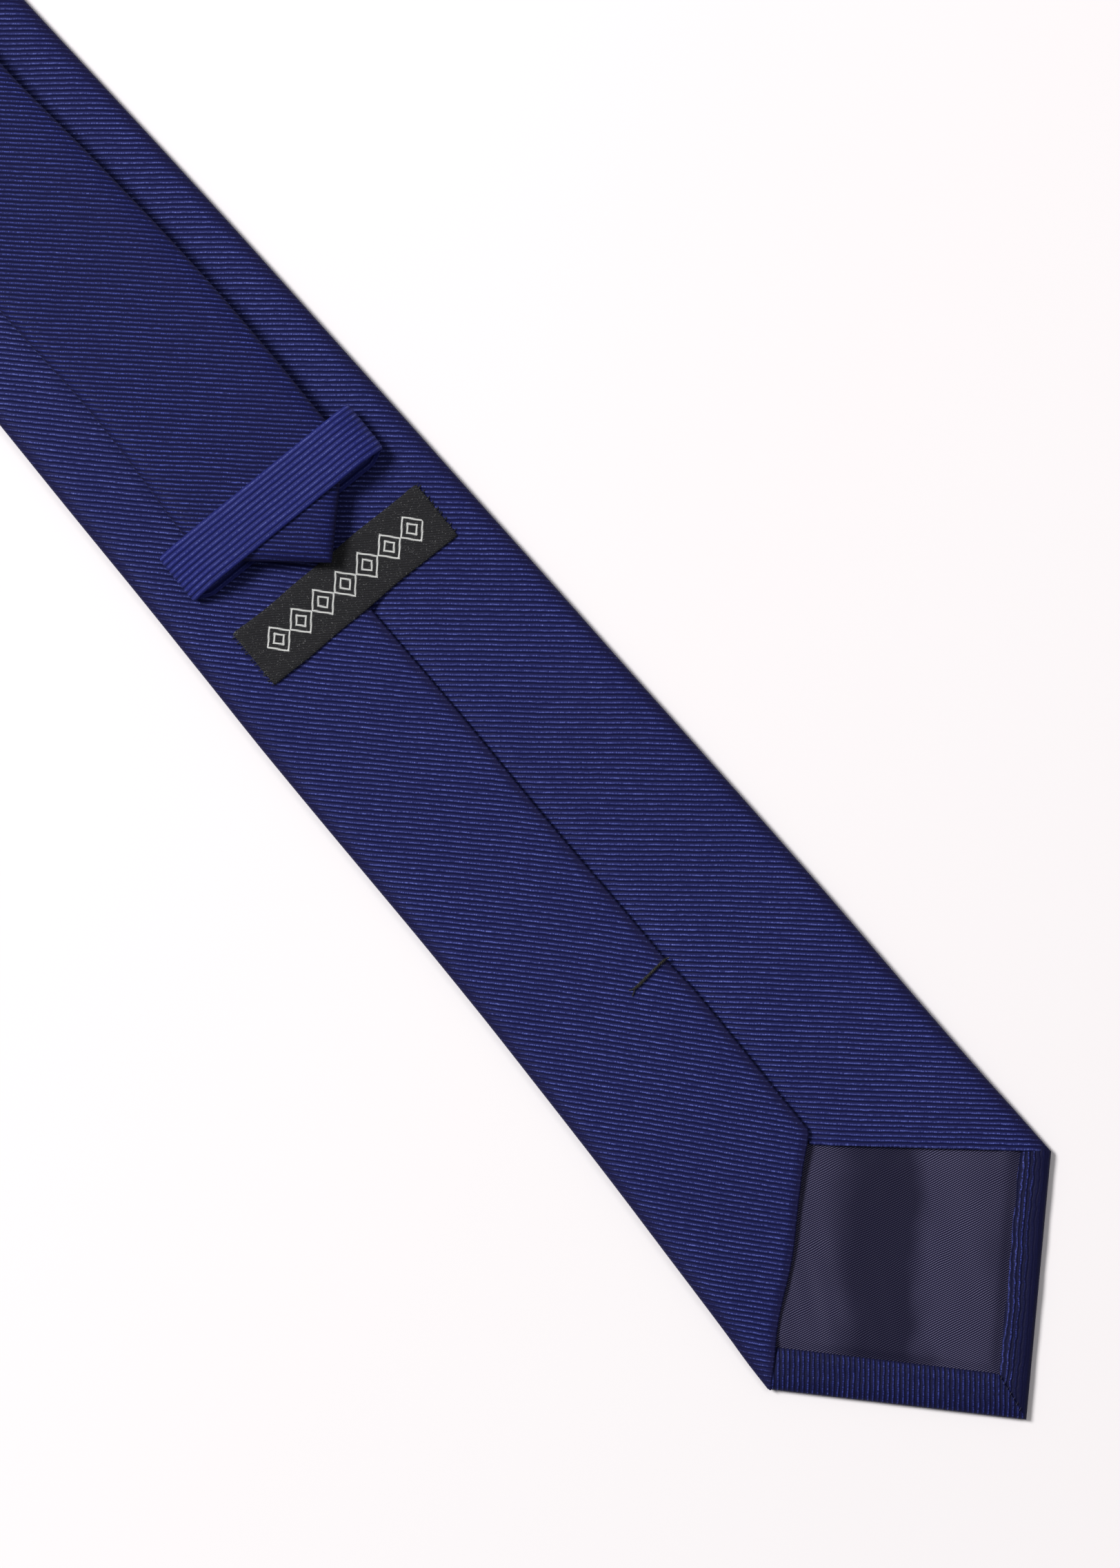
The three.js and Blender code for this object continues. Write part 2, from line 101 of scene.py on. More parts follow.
# ------------------------------------------------------------------ outlines
EDGE_R = pchip([(39, 38.0), (48.7, 37.77), (60.1, 37.4), (82.7, 37.0), (104.8, 36.8),
                (127.3, 36.35), (150.1, 35.73), (172.9, 35.04), (195.5, 34.45),
                (218.3, 33.75), (240.9, 33.1), (263.8, 32.35), (286.5, 31.6), (309.4, 30.7),
                (332.6, 29.6), (355.7, 28.5), (420, 26.3), (560, 22.1), (680, 19.2),
                (760, 18.0), (846, 17.5)])
EDGE_L = pchip([(39, -38.1), (45, -37.9), (52.7, -37.37), (73.9, -36.25), (95.1, -35.2),
                (116.8, -34.4), (138.1, -33.75), (160.1, -33.45), (182.3, -33.4),
                (204.4, -33.25), (226, -32.75), (247.8, -32.3), (269.8, -32.0),
                (291.6, -31.6), (350, -30.5), (420, -28.0), (560, -22.9), (680, -19.2),
                (760, -18.0), (846, -17.5)])
UP_R = pchip([(243.7, 20.35), (252, 20.3), (266, 20.5), (280, 20.4), (298, 19.8),
              (310, 19.1), (322, 18.3), (334, 17.3), (346, 16.4), (380, 15.9),
              (462, 16.2), (560, 16.0), (640, 16.0), (740, 16.4), (846, 17.5)])
UP_L = pchip([(243.7, -17.2), (251, -17.05), (266, -16.1), (282, -15.5), (310, -16.3),
              (345, -16.2), (380, -15.8), (462, -15.4), (560, -15.5), (640, -15.8),
              (740, -16.4), (846, -17.5)])
TIP = np.array([0.0, -1.4])
SH_L = np.array([39.0, -38.1])
SH_R = np.array([39.0, 38.0])
SEAM = pchip([(60, 2.45), (76, 2.5), (104.6, 2.95), (112, 3.0), (121, 2.5), (130, 2.5),
              (157, 2.3), (187, 2.6), (206, 2.45), (240, 2.2), (420, 1.6), (700, 1.2),
              (846, 1.0)])
MOUTH_L = pchip([(-38.1, 38.4), (-33.6, 42.7), (-27.8, 48.3), (-16.4, 57.2), (-9.3, 64.0),
                 (-3.3, 69.6), (0.06, 72.4), (2.5, 74.6)])   # s as a function of y
MOUTH_R = (np.array([72.4, 0.8]), np.array([39.4, 37.8]))


def seg_dist(s, y, a, b):
    """Distance from the line through a and b, positive inside (towards larger s)."""
    d = b - a
    n = np.array([-d[1], d[0]]) / np.hypot(*d)
    r = (s - a[0]) * n[0] + (y - a[1]) * n[1]
    mid = np.array([60.0, 0.0]) - a
    return r * np.sign(mid @ n)


def slope(edge):
    g = np.arange(0, 900, 2.0)
    v = edge(g)
    k = np.exp(-0.5 * (np.arange(-30, 31) / 13.0) ** 2)
    k /= k.sum()
    d = np.gradient(v, 2.0)
    d = np.convolve(np.pad(d, 30, mode="edge"), k, mode="valid")
    return lambda s: np.interp(s, g, d)


SLOPE_R, SLOPE_L = slope(EDGE_R), slope(EDGE_L)


def blade_d(s, y):
    """Distance of a point of the wide blade from its outline."""
    dl = (y - EDGE_L(s)) * np.cos(np.arctan(SLOPE_L(s)))
    dr = (EDGE_R(s) - y) * np.cos(np.arctan(SLOPE_R(s)))
    a = seg_dist(s, y, TIP, SH_L)
    b = seg_dist(s, y, TIP, SH_R)
    return dl, dr, a, b


def roll(d, R=ROLL):
    """Height share (0 at the outline, 1 flat) of a cloth rolled over an edge."""
    t = np.clip(d / R, 0, 1)
    return np.sqrt(np.clip(1 - (1 - t) ** 2, 0, 1))


_th = np.linspace(0, math.pi / 2, 200)
_arc = np.concatenate([[0], np.cumsum(np.hypot(np.diff(ROLL * (1 - np.cos(_th))),
                                               np.diff(1.8 * np.sin(_th))))])
_dd = ROLL * (1 - np.cos(_th))
EXC = _arc[-1] - ROLL


def arc_from_edge(d):
    return np.where(d < ROLL, np.interp(d, _dd, _arc), d + EXC)


def rib_coords(fx, fy, phi=PHI):
    """Cloth coordinates: along the ribs and across them."""
    return fx * math.cos(phi) + fy * math.sin(phi), -fx * math.sin(phi) + fy * math.cos(phi)


# ------------------------------------------------------------------ meshes
def make(name, verts, faces, attrs=None, smooth=55, mat=None):
    me = bpy.data.meshes.new(name)
    me.from_pydata((np.asarray(verts, float) * MM).tolist(), [],
                   faces if isinstance(faces, list) else faces.tolist())
    me.update()
    if attrs is not None:
        a = me.attributes.new("fab", "FLOAT_VECTOR", "POINT")
        a.data.foreach_set("vector", np.asarray(attrs, np.float32).ravel())
    me.validate()
    for p in me.polygons:
        p.use_smooth = True
    me.set_sharp_from_angle(angle=math.radians(smooth))
    ob = bpy.data.objects.new(name, me)
    bpy.context.scene.collection.objects.link(ob)
    if mat is not None:
        me.materials.append(mat)
    return ob


def volume(v, quads):
    v = np.asarray(v, float)
    q = np.asarray(quads)
    a, b, c, d = (v[q[:, k]] for k in range(4))
    return float((np.einsum("ij,ij->i", a, np.cross(b, c))
                  + np.einsum("ij,ij->i", a, np.cross(c, d))).sum() / 6)


def normals(top, orient):
    ti = np.gradient(top, axis=0)
    tj = np.gradient(top, axis=1)
    n = np.cross(ti, tj) * orient
    ln = np.linalg.norm(n, axis=2, keepdims=True)
    bad = ln[..., 0] < 1e-9
    n = n / np.maximum(ln, 1e-9)
    if bad.any():
        n[bad] = [0, 0, 1]
    return n


def cloth(name, top, thick, fab, orient, rounds="", mat=None, lip=3, smooth=55, nrm=None,
          sag=1.0):
    """A closed sheet: its outer surface as a grid, its thickness, and which of
    its sides (i0, i1, j0, j1) end in a rounded lip."""
    top = np.asarray(top, float)
    n, m = top.shape[:2]
    thick = np.broadcast_to(np.asarray(thick, float), (n, m))
    nn = normals(top, orient) if nrm is None else nrm
    bot = top - nn * thick[..., None]
    idx = np.arange(n * m).reshape(n, m)
    loop, out, amount = [], [], []
    sides = {"i0": 0, "j1": 0, "i1": 0, "j0": 0}
    for part in rounds.split():
        sides[part] = 1

    def push(i, j, o, side):
        loop.append((i, j))
        out.append(o)
        amount.append(sides[side])
    for j in range(m):
        push(0, j, top[0, j] - top[1, j], "i0")
    for i in range(1, n):
        push(i, m - 1, top[i, m - 1] - top[i, m - 2], "j1")
    for j in range(m - 2, -1, -1):
        push(n - 1, j, top[n - 1, j] - top[n - 2, j], "i1")
    for i in range(n - 2, 0, -1):
        push(i, 0, top[i, 0] - top[i, 1], "j0")
    li = np.array([p[0] for p in loop])
    lj = np.array([p[1] for p in loop])
    t0, b0, N, tk = top[li, lj], bot[li, lj], nn[li, lj], thick[li, lj]
    tang = np.roll(t0, -1, 0) - np.roll(t0, 1, 0)
    tang /= np.maximum(np.linalg.norm(tang, axis=1, keepdims=True), 1e-9)
    o = np.cross(tang, N)
    s = np.sign((o * np.array(out)).sum(1))
    s[s == 0] = 1
    o = o * s[:, None]
    o /= np.maximum(np.linalg.norm(o, axis=1, keepdims=True), 1e-9)
    am = np.array(amount, float)[:, None]
    c = (t0 + b0) / 2
    rows = []
    for k in range(1, lip + 1):
        a = math.pi * k / (lip + 1)
        rows.append(c + N * (tk[:, None] / 2) * math.cos(a) + o * (tk[:, None] / 2) * math.sin(a) * am * sag)
    verts = np.concatenate([top.reshape(-1, 3), bot.reshape(-1, 3)] + rows)
    f = np.asarray(fab, float)
    edge = f[li, lj]
    attrs = np.concatenate([f.reshape(-1, 3), f.reshape(-1, 3)] + [edge] * lip)
    q = np.stack([idx[:-1, :-1], idx[1:, :-1], idx[1:, 1:], idx[:-1, 1:]], -1).reshape(-1, 4)
    faces = [q, q[:, ::-1] + n * m]
    ring = [idx[li, lj]] + [2 * n * m + k * len(loop) + np.arange(len(loop)) for k in range(lip)] \
        + [idx[li, lj] + n * m]
    for a, b in zip(ring[:-1], ring[1:]):
        faces.append(np.stack([a, b, np.roll(b, -1), np.roll(a, -1)], -1))
    quads = np.concatenate(faces)
    # the loop runs i0 -> j1 -> i1 -> j0; make the walls agree with the grid
    wall = np.concatenate(faces[2:])
    e_top = {(a, b) for a, b in zip(q.ravel(), np.roll(q, -1, 1).ravel())}
    if (wall[0][0], wall[0][3]) in e_top or (wall[0][3], wall[0][0]) not in e_top:
        pass
    first = (int(ring[0][0]), int(ring[0][1]))
    if first in e_top:          # grid runs first[0]->first[1], so the wall must run back
        wall = np.where(True, wall, wall)
    else:
        wall = wall[:, ::-1]
    # wall quads go a0 b0 b1 a1, so their top side runs a1 -> a0
    quads = np.concatenate([q, q[:, ::-1] + n * m, wall])
    if volume(verts, quads) < 0:
        quads = quads[:, ::-1]
    return make(name, verts, quads, attrs, smooth, mat)


def tube(name, path, radius, mat, sides=8, fab_pitch=1.0, taper=True):
    """A closed thread along a path of points; radius may change along it."""
    p = np.asarray(path, float)
    n = len(p)
    r = np.broadcast_to(np.asarray(radius, float), (n,)).copy()
    t = np.gradient(p, axis=0)
    t /= np.maximum(np.linalg.norm(t, axis=1, keepdims=True), 1e-9)
    up = np.array([0, 0, 1.0]) if abs(t[0][2]) < 0.9 else np.array([1.0, 0, 0])
    a = np.cross(t[0], up)
    a /= np.linalg.norm(a)
    verts, attrs = [], []
    length = 0
    for k in range(n):
        if k:
            a = a - t[k] * (a @ t[k])
            a /= np.linalg.norm(a)
            length += np.linalg.norm(p[k] - p[k - 1])
        b = np.cross(t[k], a)
        for j in range(sides):
            w = 2 * math.pi * j / sides
            verts.append(p[k] + r[k] * (a * math.cos(w) + b * math.sin(w)))
            attrs.append([length, w, 0])
    faces = []
    for k in range(n - 1):
        for j in range(sides):
            j1 = (j + 1) % sides
            faces.append([k * sides + j, k * sides + j1, (k + 1) * sides + j1, (k + 1) * sides + j])
    for end, off in ((p[0], 0), (p[-1], (n - 1) * sides)):
        c = len(verts)
        sgn = -1 if off == 0 else 1
        verts.append(end + sgn * t[0 if off == 0 else -1] * r[0 if off == 0 else -1] * (0.6 if taper else 0.0))
        attrs.append([0 if off == 0 else length, 0, 0])
        for j in range(sides):
            j1 = (j + 1) % sides
            faces.append([off + j1, off + j, c] if off == 0 else [off + j, off + j1, c])
    return verts, faces, attrs


def join(parts):
    verts, faces, attrs = [], [], []
    for v, f, a in parts:
        o = len(verts)
        verts += [list(x) for x in v]
        faces += [[i + o for i in q] for q in f]
        attrs += [list(x) for x in a]
    return verts, faces, attrs


def threads(name, parts, mat):
    v, f, a = join(parts)
    return make(name, v, f, a, 80, mat)


# ------------------------------------------------------------------ materials
def lin(c):
    return tuple(((x / 255) / 12.92 if x <= 10.3 else ((x / 255 + 0.055) / 1.055) ** 2.4)
                 for x in c) + (1.0,)


class Graph:
    def __init__(self, name):
        self.mat = bpy.data.materials.new(name)
        self.mat.use_nodes = True
        self.nt = self.mat.node_tree
        self.bsdf = next(n for n in self.nt.nodes if n.type == "BSDF_PRINCIPLED")

    def put(self, socket, value):
        if isinstance(value, bpy.types.NodeSocket):
            self.nt.links.new(value, socket)
        elif value is not None:
            socket.default_value = value

    def m(self, op, a, b=None, c=None, clamp=False):
        n = self.nt.nodes.new("ShaderNodeMath")
        n.operation = op
        n.use_clamp = clamp
        for k, v in enumerate((a, b, c)):
            if v is not None:
                self.put(n.inputs[k], v)
        return n.outputs[0]

    def attr(self, name="fab"):
        n = self.nt.nodes.new("ShaderNodeAttribute")
        n.attribute_name = name
        return n.outputs["Vector"]

    def split(self, v):
        n = self.nt.nodes.new("ShaderNodeSeparateXYZ")
        self.put(n.inputs[0], v)
        return n.outputs[0], n.outputs[1], n.outputs[2]

    def vec(self, x, y, z=0.0):
        n = self.nt.nodes.new("ShaderNodeCombineXYZ")
        for k, v in enumerate((x, y, z)):
            self.put(n.inputs[k], v)
        return n.outputs[0]

    def noise(self, vector, scale=1.0, detail=2.0, rough=0.5):
        n = self.nt.nodes.new("ShaderNodeTexNoise")
        self.put(n.inputs["Vector"], vector)
        n.inputs["Scale"].default_value = scale
        n.inputs["Detail"].default_value = detail
        n.inputs["Roughness"].default_value = rough
        return n.outputs[0]

    def ramp(self, fac, stops):
        n = self.nt.nodes.new("ShaderNodeValToRGB")
        r = n.color_ramp
        while len(r.elements) < len(stops):
            r.elements.new(0.5)
        for e, (p, c) in zip(r.elements, stops):
            e.position, e.color = p, c
        self.put(n.inputs[0], fac)
        return n.outputs[0]

    def mix(self, fac, a, b, kind="MIX"):
        n = self.nt.nodes.new("ShaderNodeMix")
        n.data_type = "RGBA"
        n.blend_type = kind
        self.put(n.inputs[0], fac)
        self.put(n.inputs[6], a)
        self.put(n.inputs[7], b)
        return n.outputs[2]

    def range(self, v, a, b, c=0.0, d=1.0, smooth=True):
        n = self.nt.nodes.new("ShaderNodeMapRange")
        n.interpolation_type = "SMOOTHSTEP" if smooth else "LINEAR"
        self.put(n.inputs[0], v)
        for k, x in enumerate((a, b, c, d)):
            n.inputs[1 + k].default_value = x
        return n.outputs[0]

    def bump(self, height, distance, strength=1.0, normal=None):
        n = self.nt.nodes.new("ShaderNodeBump")
        n.inputs["Distance"].default_value = distance
        n.inputs["Strength"].default_value = strength
        self.put(n.inputs["Height"], height)
        if normal is not None:
            self.put(n.inputs["Normal"], normal)
        return n.outputs[0]

    def done(self, color, rough, normal=None, sheen=0.0, sheen_rough=0.4, spec=0.5,
             tint=(1, 1, 1, 1)):
        b = self.bsdf
        self.put(b.inputs["Base Color"], color)
        self.put(b.inputs["Roughness"], rough)
        b.inputs["Sheen Weight"].default_value = sheen
        b.inputs["Sheen Roughness"].default_value = sheen_rough
        b.inputs["Sheen Tint"].default_value = tint
        b.inputs["Specular IOR Level"].default_value = spec
        if normal is not None:
            self.put(b.inputs["Normal"], normal)
        return self.mat


def repp(name, pitch=PITCH, low=(10, 12, 47), mid=(24, 28, 86), high=(98, 108, 190),
         speck=0.85, wave=0.18, fade=3.2, relief=0.00011, painted_edge_shade=(18, 17, 58),
         highlight_pos=0.56, highlight_w=0.19, edge_from=0.4, edge_min=0.25):
    """Ribbed silk: fab holds the place along the ribs, across them, and the
    distance from the nearest edge, all in millimetres."""
    g = Graph(name)
    u, v, d = g.split(g.attr())
    slow = g.noise(g.vec(g.m("MULTIPLY", u, 0.055), g.m("MULTIPLY", v, 0.055), 3.1), 1.0, 2.0)
    quick = g.noise(g.vec(g.m("MULTIPLY", u, 0.65), g.m("MULTIPLY", v, 0.65), 7.7), 1.0, 1.0)
    w = g.m("ADD", g.m("MULTIPLY", g.m("SUBTRACT", slow, 0.5), wave * 3.0),
            g.m("MULTIPLY", g.m("SUBTRACT", quick, 0.5), wave * 1.2))
    rv = g.m("DIVIDE", g.m("ADD", v, w), pitch)
    row = g.m("FLOOR", rv)
    ph = g.m("FRACT", rv)
    # round rib with a narrow valley
    tri = g.m("ABSOLUTE", g.m("SUBTRACT", g.m("MULTIPLY", ph, 2.0), 1.0))
    rib = g.m("SUBTRACT", 1.0, g.m("POWER", tri, 2.6))
    # painted highlight: a bright, speckled line along the crest of each rib
    off = g.m("ABSOLUTE", g.m("SUBTRACT", ph, highlight_pos))
    line = g.range(off, highlight_w, 0.02)
    # yarn: little twisted floats along the rib
    yarn = g.m("SINE", g.m("MULTIPLY", g.m("ADD", u, g.m("ADD", g.m("MULTIPLY", ph, 0.42), g.m("MULTIPLY", quick, 0.5))), 2 * math.pi / 0.40))
    yarn = g.m("MULTIPLY_ADD", yarn, 0.5, 0.5)
    dots = g.noise(g.vec(g.m("MULTIPLY", u, 3.3), g.m("MULTIPLY", row, 5.37), g.m("MULTIPLY", ph, 2.2)), 1.0, 2.0, 0.65)
    dotm = g.range(dots, 0.36, 0.66)
    lots = g.noise(g.vec(g.m("MULTIPLY", u, 0.33), g.m("MULTIPLY", row, 3.11), 1.0), 1.0, 1.0)
    lotm = g.range(lots, 0.25, 0.75, 0.55, 1.15)
    # slow swells of painted sheen: they scale the painted highlight lines
    sheen_noise = g.noise(g.vec(g.m("MULTIPLY", u, 0.02), g.m("MULTIPLY", v, 0.02), 11.0), 1.0, 2.0)
    painted_sheen_var = g.range(sheen_noise, 0.3, 0.7, 0.82, 1.14)
    # the painted highlight dies out near the edges
    edge = g.range(d, edge_from, fade, edge_min, 1.0)
    k = g.m("MULTIPLY", line, g.m("ADD", 1.0 - speck, g.m("MULTIPLY", dotm, speck * 1.25)))
    k = g.m("MULTIPLY", k, g.m("MULTIPLY", lotm, painted_sheen_var))
    k = g.m("MULTIPLY", k, edge)
    k = g.m("MULTIPLY", k, g.m("ADD", 0.62, g.m("MULTIPLY", yarn, 0.62)))
    # painted shade: the valleys between the ribs take the darker low colour, the crests the mid colour
    base = g.mix(g.m("MULTIPLY", rib, 0.9), lin(low), lin(mid))
    # painted shade: darker towards the rolled and free edges, where the cloth turns away from the light
    base = g.mix(g.range(d, 0.3, fade, 1.0, 0.0), base, lin(painted_edge_shade))
    col = g.mix(g.m("MULTIPLY", k, 0.80, clamp=True), base, lin(high))
    # painted glints: pale specks on the highlight lines, dimmer near the edges
    spark = g.range(dots, 0.66, 0.80)
    spark = g.m("MULTIPLY", g.m("MULTIPLY", spark, line), g.m("MULTIPLY", edge, 0.5))
    col = g.mix(spark, col, lin((168, 172, 214)))
    h = g.m("ADD", rib, g.m("MULTIPLY", yarn, g.m("MULTIPLY", rib, 0.10)))
    h = g.m("MULTIPLY", h, g.range(d, 0.2, fade * 0.8, 0.25, 1.0))
    nrm = g.bump(h, relief, 1.0)
    rough = g.m("SUBTRACT", 0.62, g.m("MULTIPLY", k, 0.14))
    return g.done(col, rough, nrm, sheen=0.04, sheen_rough=0.35, spec=0.14,
                  tint=(0.70, 0.74, 1.0, 1))


NAVY = repp("navy_repp")
# The tail, hem and keeper copies of the same silk differ in pitch and pattern. They also differ in brightness for how
# light falls on each part: the keeper copy is painted lighter, and the tail and hem copies are painted darker. The
# right hem copy keeps its painted highlight lines only near its inner edge and is painted dark towards its rolled outer
# edge.
NAVY_TAIL = repp("navy_repp_tail", pitch=0.955, low=(9, 11, 45), mid=(19, 22, 77), relief=0.00009,
                 high=(76, 88, 174), fade=2.2, painted_edge_shade=(17, 17, 58))
NAVY_HEM = repp("navy_repp_hem", pitch=1.03, low=(7, 8, 34), mid=(16, 19, 64),
                high=(64, 74, 158), fade=1.0, painted_edge_shade=(13, 14, 50), wave=0.25)
NAVY_HEM_R = repp("navy_repp_hem_right", pitch=1.03, low=(10, 11, 44), mid=(13, 15, 54),
                  high=(74, 84, 176), fade=4.6, painted_edge_shade=(12, 13, 50), wave=0.55,
                  edge_from=2.6, edge_min=0.06)
NAVY_KEEP = repp("navy_repp_keeper", pitch=1.17, low=(17, 20, 70), mid=(34, 40, 114),
                 high=(156, 168, 240), fade=0.3, painted_edge_shade=(24, 28, 88), wave=0.12,
                 speck=0.9, relief=0.00012, highlight_w=0.16)


def twill_lining():
    g = Graph("lining_twill")
    x, y, d = g.split(g.attr())
    n1 = g.noise(g.vec(g.m("MULTIPLY", x, 0.09), g.m("MULTIPLY", y, 0.09), 0.0), 1.0, 2.0)
    w = g.m("MULTIPLY", g.m("SUBTRACT", n1, 0.5), 1.2)
    t = g.m("FRACT", g.m("DIVIDE", g.m("ADD", y, w), 0.41))
    line = g.range(g.m("ABSOLUTE", g.m("SUBTRACT", t, 0.5)), 0.34, 0.06)
    u = g.m("FRACT", g.m("DIVIDE", g.m("SUBTRACT", x, g.m("MULTIPLY", y, 0.9)), 0.62))
    dash = g.range(g.m("ABSOLUTE", g.m("SUBTRACT", u, 0.5)), 0.5, 0.1)
    # painted sheen: a bright field on the right, a dark run in the middle, a softer one on the left, fixed in place on
    # the lining
    wob = g.noise(g.vec(g.m("MULTIPLY", x, 0.055), g.m("MULTIPLY", y, 0.055), 2.0), 1.0, 2.0)
    xx = g.m("ADD", d, g.m("MULTIPLY", g.m("SUBTRACT", wob, 0.5), 12.0))
    right = g.m("MULTIPLY", g.range(xx, 247.5, 252.5), g.range(xx, 271.0, 259.0, 0.25, 1.0))
    left = g.range(xx, 239.0, 228.0, 0.0, 0.80)
    painted_sheen = g.m("ADD", 0.34, g.m("MULTIPLY", g.m("MAXIMUM", left, right), 0.76))
    k = g.m("MULTIPLY", g.m("MULTIPLY", line, g.m("ADD", 0.65, g.m("MULTIPLY", dash, 0.35))), painted_sheen)
    col = g.mix(g.m("MULTIPLY", painted_sheen, 0.45, clamp=True), lin((8, 7, 32)), lin((12, 11, 40)))
    col = g.mix(g.m("MULTIPLY", k, 0.80, clamp=True), col, lin((111, 107, 140)))
    nrm = g.bump(g.m("ADD", line, g.m("MULTIPLY", dash, 0.3)), 0.00004, 1.0)
    return g.done(col, g.m("SUBTRACT", 0.6, g.m("MULTIPLY", painted_sheen, 0.16)), nrm, sheen=0.0,
                  sheen_rough=0.3, spec=0.08)


LINING = twill_lining()


def wool_felt():
    g = Graph("interlining_wool")
    x, y, d = g.split(g.attr())
    v = g.vec(x, y, 0.0)
    a = g.noise(v, 1.6, 4.0, 0.7)
    wx = g.m("SINE", g.m("MULTIPLY", x, 2 * math.pi / 0.9))
    wy = g.m("SINE", g.m("MULTIPLY", y, 2 * math.pi / 0.9))
    weave = g.m("MULTIPLY_ADD", g.m("MULTIPLY", wx, wy), 0.5, 0.5)
    col = g.mix(g.m("ADD", g.m("MULTIPLY", a, 0.7), g.m("MULTIPLY", weave, 0.3)),
                lin((176, 166, 146)), lin((226, 219, 203)))
    nrm = g.bump(g.m("ADD", a, g.m("MULTIPLY", weave, 0.5)), 0.00015, 0.8)
    return g.done(col, 0.92, nrm, sheen=0.4, sheen_rough=0.6, spec=0.2)


WOOL = wool_felt()


def label_weave():
    """Black woven label with a plain border and a row of lozenges."""
    g = Graph("label_weave")
    x, y, d = g.split(g.attr())      # along the label, across it
    t = g.m("FRACT", g.m("DIVIDE", g.m("ADD", x, g.m("MULTIPLY", y, 1.1)), 0.52))
    twl = g.range(g.m("ABSOLUTE", g.m("SUBTRACT", t, 0.5)), 0.45, 0.12)
    pick = g.m("FRACT", g.m("DIVIDE", x, 0.30))
    pickm = g.range(g.m("ABSOLUTE", g.m("SUBTRACT", pick, 0.5)), 0.5, 0.15)
    n = g.noise(g.vec(x, y, 5.0), 3.2, 3.0, 0.7)
    base = g.mix(g.m("MULTIPLY", twl, g.m("ADD", 0.35, g.m("MULTIPLY", n, 0.65))),
                 lin((8, 8, 10)), lin((50, 50, 54)))
    spark = g.range(g.noise(g.vec(x, y, 9.0), 4.5, 2.0, 0.6), 0.63, 0.72)
    base = g.mix(g.m("MULTIPLY", spark, 0.45), base, lin((170, 170, 170)))
    # lozenge chain, outlined in light thread, jagged by the picks of the loom
    jx = g.m("MULTIPLY", g.m("FLOOR", g.m("DIVIDE", x, 0.22)), 0.22)
    jy = g.m("MULTIPLY", g.m("FLOOR", g.m("DIVIDE", y, 0.22)), 0.22)
    cell = g.m("SUBTRACT", g.m("FRACT", g.m("ADD", g.m("DIVIDE", jx, 5.9), 0.5)), 0.5)
    ax = g.m("ABSOLUTE", g.m("MULTIPLY", cell, 5.9))
    ay = g.m("ABSOLUTE", jy)
    r = g.m("ADD", g.m("MULTIPLY", ax, 1.12), ay)
    big = g.range(g.m("ABSOLUTE", g.m("SUBTRACT", r, 3.15)), 0.30, 0.18)
    small = g.range(g.m("ABSOLUTE", g.m("SUBTRACT", r, 1.45)), 0.30, 0.18)
    inside = g.range(g.m("ABSOLUTE", x), 20.65, 20.55)
    mark = g.m("MULTIPLY", g.m("MAXIMUM", big, small), inside)
    mark = g.m("MULTIPLY", mark, g.m("ADD", 0.82, g.m("MULTIPLY", pickm, 0.18)))
    col = g.mix(mark, base, lin((226, 226, 224)))
    h = g.m("ADD", g.m("ADD", g.m("MULTIPLY", twl, 0.5), g.m("MULTIPLY", pickm, 0.25)),
            g.m("MULTIPLY", mark, 0.9))
    nrm = g.bump(g.m("ADD", h, g.m("MULTIPLY", n, 0.4)), 0.00008, 1.0)
    return g.done(col, 0.8, nrm, sheen=0.1, spec=0.25)


LABEL_MAT = label_weave()


def thread_mat(name, low, high, gold=0.0):
    g = Graph(name)
    x, y, d = g.split(g.attr())
    t = g.m("FRACT", g.m("ADD", g.m("DIVIDE", x, 0.55), g.m("DIVIDE", y, 2 * math.pi)))
    k = g.range(g.m("ABSOLUTE", g.m("SUBTRACT", t, 0.5)), 0.45, 0.1)
    n = g.noise(g.vec(g.m("MULTIPLY", x, 3.0), y, 0.0), 1.0, 2.0)
    col = g.mix(g.m("MULTIPLY", k, n), lin(low), lin(high))
    if gold:
        s = g.range(g.noise(g.vec(g.m("MULTIPLY", x, 2.2), y, 4.0), 1.0, 2.0), 0.56, 0.68)
        col = g.mix(g.m("MULTIPLY", s, gold), col, lin((96, 84, 44)))
    return g.done(col, 0.6, g.bump(k, 0.00006, 1.0), sheen=0.2, spec=0.4)


BLACK_THREAD = thread_mat("thread_black", (8, 8, 8), (40, 40, 38), 0.55)
NAVY_THREAD = thread_mat("thread_navy", (16, 16, 40), (52, 54, 104))


# ------------------------------------------------------------------ the blade
END_LOW = 700.0


def bias_end(y, base, side):
    return base - 0.15 - 0.9 * y if side > 0 else base + 0.15 - 0.9 * y


def stretch(s, y, s_from, base, side=1):
    """Slides rows beyond s_from so that the last one lies on the bias seam."""
    end = bias_end(y, base, side)
    f = np.clip((s - s_from) / (base - s_from), 0, 1)
    return np.where(s > s_from, s_from + (end - s_from) * f, s)


def zc_left(s):
    return 1.35 + 0.65 * sm(39, 62, s)


def zc_right(s):
    return 1.35 + 0.25 * sm(39, 62, s)


def zc_at(s, y):
    return np.where(y < 0, zc_left(s), zc_right(s))


def plump(s, y):
    """Slight fullness and handling waves of the back of the blade."""
    return 0.10 * ripple(X(s), y, 11, 60) + 0.05 * ripple(X(s), y, 12, 24)


s_tip = np.concatenate([[0.25, 0.8, 1.6, 2.6, 4.0], np.arange(5.5, 39, 1.75)])
s_main = np.concatenate([[39.0, 39.6, 40.4], np.arange(41.6, 126, 1.5), np.arange(127, 360, 2.4),
                         np.arange(361, 698, 4.0), [700.0]])
EDGE_STEPS = ROLL * (1 - np.cos(np.linspace(0, math.pi / 2, 9)))


